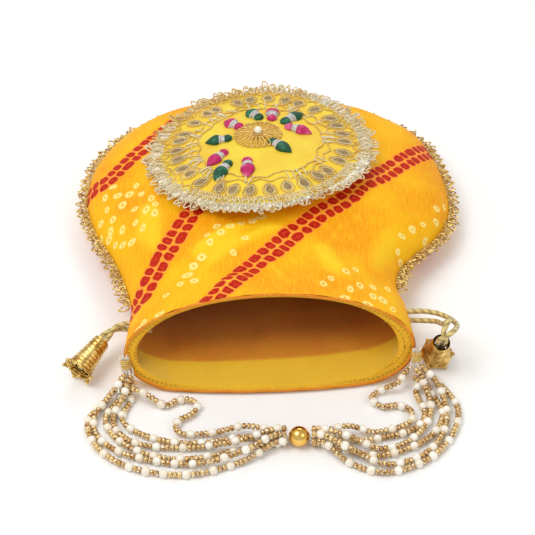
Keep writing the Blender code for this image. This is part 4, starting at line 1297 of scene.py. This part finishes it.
def rosette():
    # radial loops of wound gold round a pearl, each one bowed up at its middle
    rng = np.random.default_rng(31)
    count = 24
    angle = tau * np.arange(count) / count
    t = fullTurn(30)
    part = 0.5 - 0.5 * np.cos(t)
    reach = rng.uniform(11.0, 12.6, count)
    x = 2.6 + part[None] * reach[:, None]
    y = np.sin(t)[None] * (0.35 + 1.15 * part)[None] * rng.uniform(0.8, 1.15, count)[:, None]
    z = 1.0 + 1.9 * np.sin(part * math.pi)[None] * rng.uniform(0.8, 1.1, count)[:, None]
    local = stacked(x, y, z)
    flower = np.array([*patch["flower"], 0])
    loops = spun(local, angle, np.zeros(count)) + flower
    a = tubes(onPatch(loops), 0.36, 6, closed=True)
    ring = fullTurn(120)
    rings = np.stack([polar(13.9 + 0.5 * np.sin(ring * 27), ring, 0.9),
                      polar(3.3 + 0 * ring, ring, 2.4)]) + flower
    b = tubes(onPatch(rings), 0.40, 6, closed=True)
    joinedPiece("rosette_loops", [a, b], [rosetteGold, goldWire], node="rosette",
                slot="gold_wire")
    shape, faces = ball(2.5, 16, 24)
    piece("rosette_bead", shape + onPatch(flower + [0, 0, 3.6]), faces, pearlWhite,
          "rosette_pearl", uv=shape[:, :2], slot="pearl")


rosetteGold = metal("rosette_gold", srgb(255, 230, 146), srgb(232, 176, 86), 0.24, 0.5, 0.05,
                    True, 0.4)
patchGround()
leafRing()
wavyWires()
foilEdge()
rosette()
counts = {"green": 0, "pink": 0}
places = sorted(range(10), key=lambda k: math.atan2(petals[k][1][1], petals[k][1][0]) % tau)
for number, k in enumerate(places):
    colour, tip, root = petals[k]
    counts[colour] += 1
    petal(counts[colour], colour, tip, root, f"{colour}_petal_{counts[colour]}")
print("patch done")


# the lace along the seam
lace = {"first": 2.1, "last": 12.99, "count": 84, "wire": 0.46, "braid": 0.5,
        "rows": ((0.0, 6.4, 3.4, 0.0), (0.5, 4.2, 2.8, 1.0))}  # shift, reach, width, lift


def outwards(line, side):
    # the level direction away from the pouch along a seam
    run = unit(line)
    return np.stack([run[:, 1], -run[:, 0]], axis=1) * side


def seamLace():
    # spiked loops of gold wire over a narrow leafy braid
    rng = np.random.default_rng(41)
    count, long = lace["count"], lace["last"] - lace["first"]
    station = lace["first"] + long * (np.arange(count) / (count - 1)) ** 0.9
    fine, wave = lace["first"] + long * np.linspace(0, 1, 500), np.arange(500) * 0.5
    leaf = leafOutline(1.0, 1.0, 18, 1.5, -0.55) + [0.5, 0, 0]
    braids, spikes = [], []
    for seam, side in ((leftSeam, -1.0), (rightSeam, 1.0)):
        run = unit(through(seam, np.minimum(station + 0.02, 13.0)) - through(seam, station - 0.02))
        away = outwards(run, side)
        for shift, reach, wide, lift in lace["rows"]:
            far = reach * rng.uniform(0.8, 1.15, count)
            lean = rng.normal(0, 0.9, (count, 1, 1))
            spot = through(seam, station) + run * shift * 2.2
            loops = (spot[:, None] + away[:, None] * (leaf[:, :1] * far[:, None, None] + 0.2)
                     + run[:, None] * (leaf[:, 1:2] * wide + leaf[:, :1] * lean))
            z = ((through(seamHeight, station) + lift)[:, None]
                 + leaf[:, 0] * rng.normal(0, 1.2, (count, 1)) + leaf[:, 1] * 1.2)
            spikes.append(np.concatenate([loops, z[..., None]], axis=-1))
        line = through(seam, fine)
        for phase in (0.0, 2.1, 4.2):
            spread = (0.9 + 0.8 * np.sin(wave + phase))[:, None]
            braid = line + outwards(np.gradient(line, axis=0), side) * spread
            z = through(seamHeight, fine) + 0.8 * np.cos(wave + phase)
            braids.append(np.concatenate([braid, z[:, None]], axis=-1))
    joinedPiece("seam_lace", [tubes(np.concatenate(spikes), lace["wire"], 5, closed=True),
                              tubes(np.array(braids), lace["braid"], 5)],
                [laceGold, goldWire], node="seam_trim", slot="gold_lace")


seamLace()
print("lace done")


def floorLook():
    g = Graph("floor_look")
    cloud = g.noise(g.place(), 0.004, 2.0)
    tone = g.mix(cloud, srgb(250, 250, 250), srgb(255, 255, 255))
    return g.done({"Base Color": tone, "Roughness": 0.8})


def studio():
    side = 3000.0
    corners = np.array([(-side, -side, 0), (side, -side, 0), (side, side, 0), (-side, side, 0)])
    floor = bpy.data.meshes.new("floor")
    floor.from_pydata((corners * mm).tolist(), [], [(0, 1, 2, 3)])
    floor.materials.append(floorLook())
    made = bpy.data.objects.new("floor", floor)
    bpy.context.scene.collection.objects.link(made)
    world = bpy.data.worlds.new("studio")
    world.use_nodes = True
    world.node_tree.nodes["Background"].inputs["Color"].default_value = (1.0, 0.99, 0.97, 1)
    world.node_tree.nodes["Background"].inputs["Strength"].default_value = light["world"]
    bpy.context.scene.world = world
    for name, spot, size, power in light["boxes"]:
        data = bpy.data.lights.new(name, "AREA")
        data.shape, data.size, data.size_y, data.energy = "RECTANGLE", size[0], size[1], power
        lamp = bpy.data.objects.new(name, data)
        lamp.location = spot
        aim = Vector((0, -0.02, 0.03)) - Vector(spot)
        lamp.rotation_euler = aim.to_track_quat("-Z", "Y").to_euler()
        bpy.context.scene.collection.objects.link(lamp)


light = {"world": 0.62,
         "boxes": [("key_box", (-0.45, -0.25, 1.0), (0.6, 0.6), 5.2),
                   ("fill_box", (0.75, -0.55, 0.8), (0.4, 0.4), 1.4),
                   ("rear_box", (0.1, 0.9, 0.8), (0.7, 0.3), 2.2)]}
studio()
bpy.context.scene.view_settings.view_transform = "Standard"
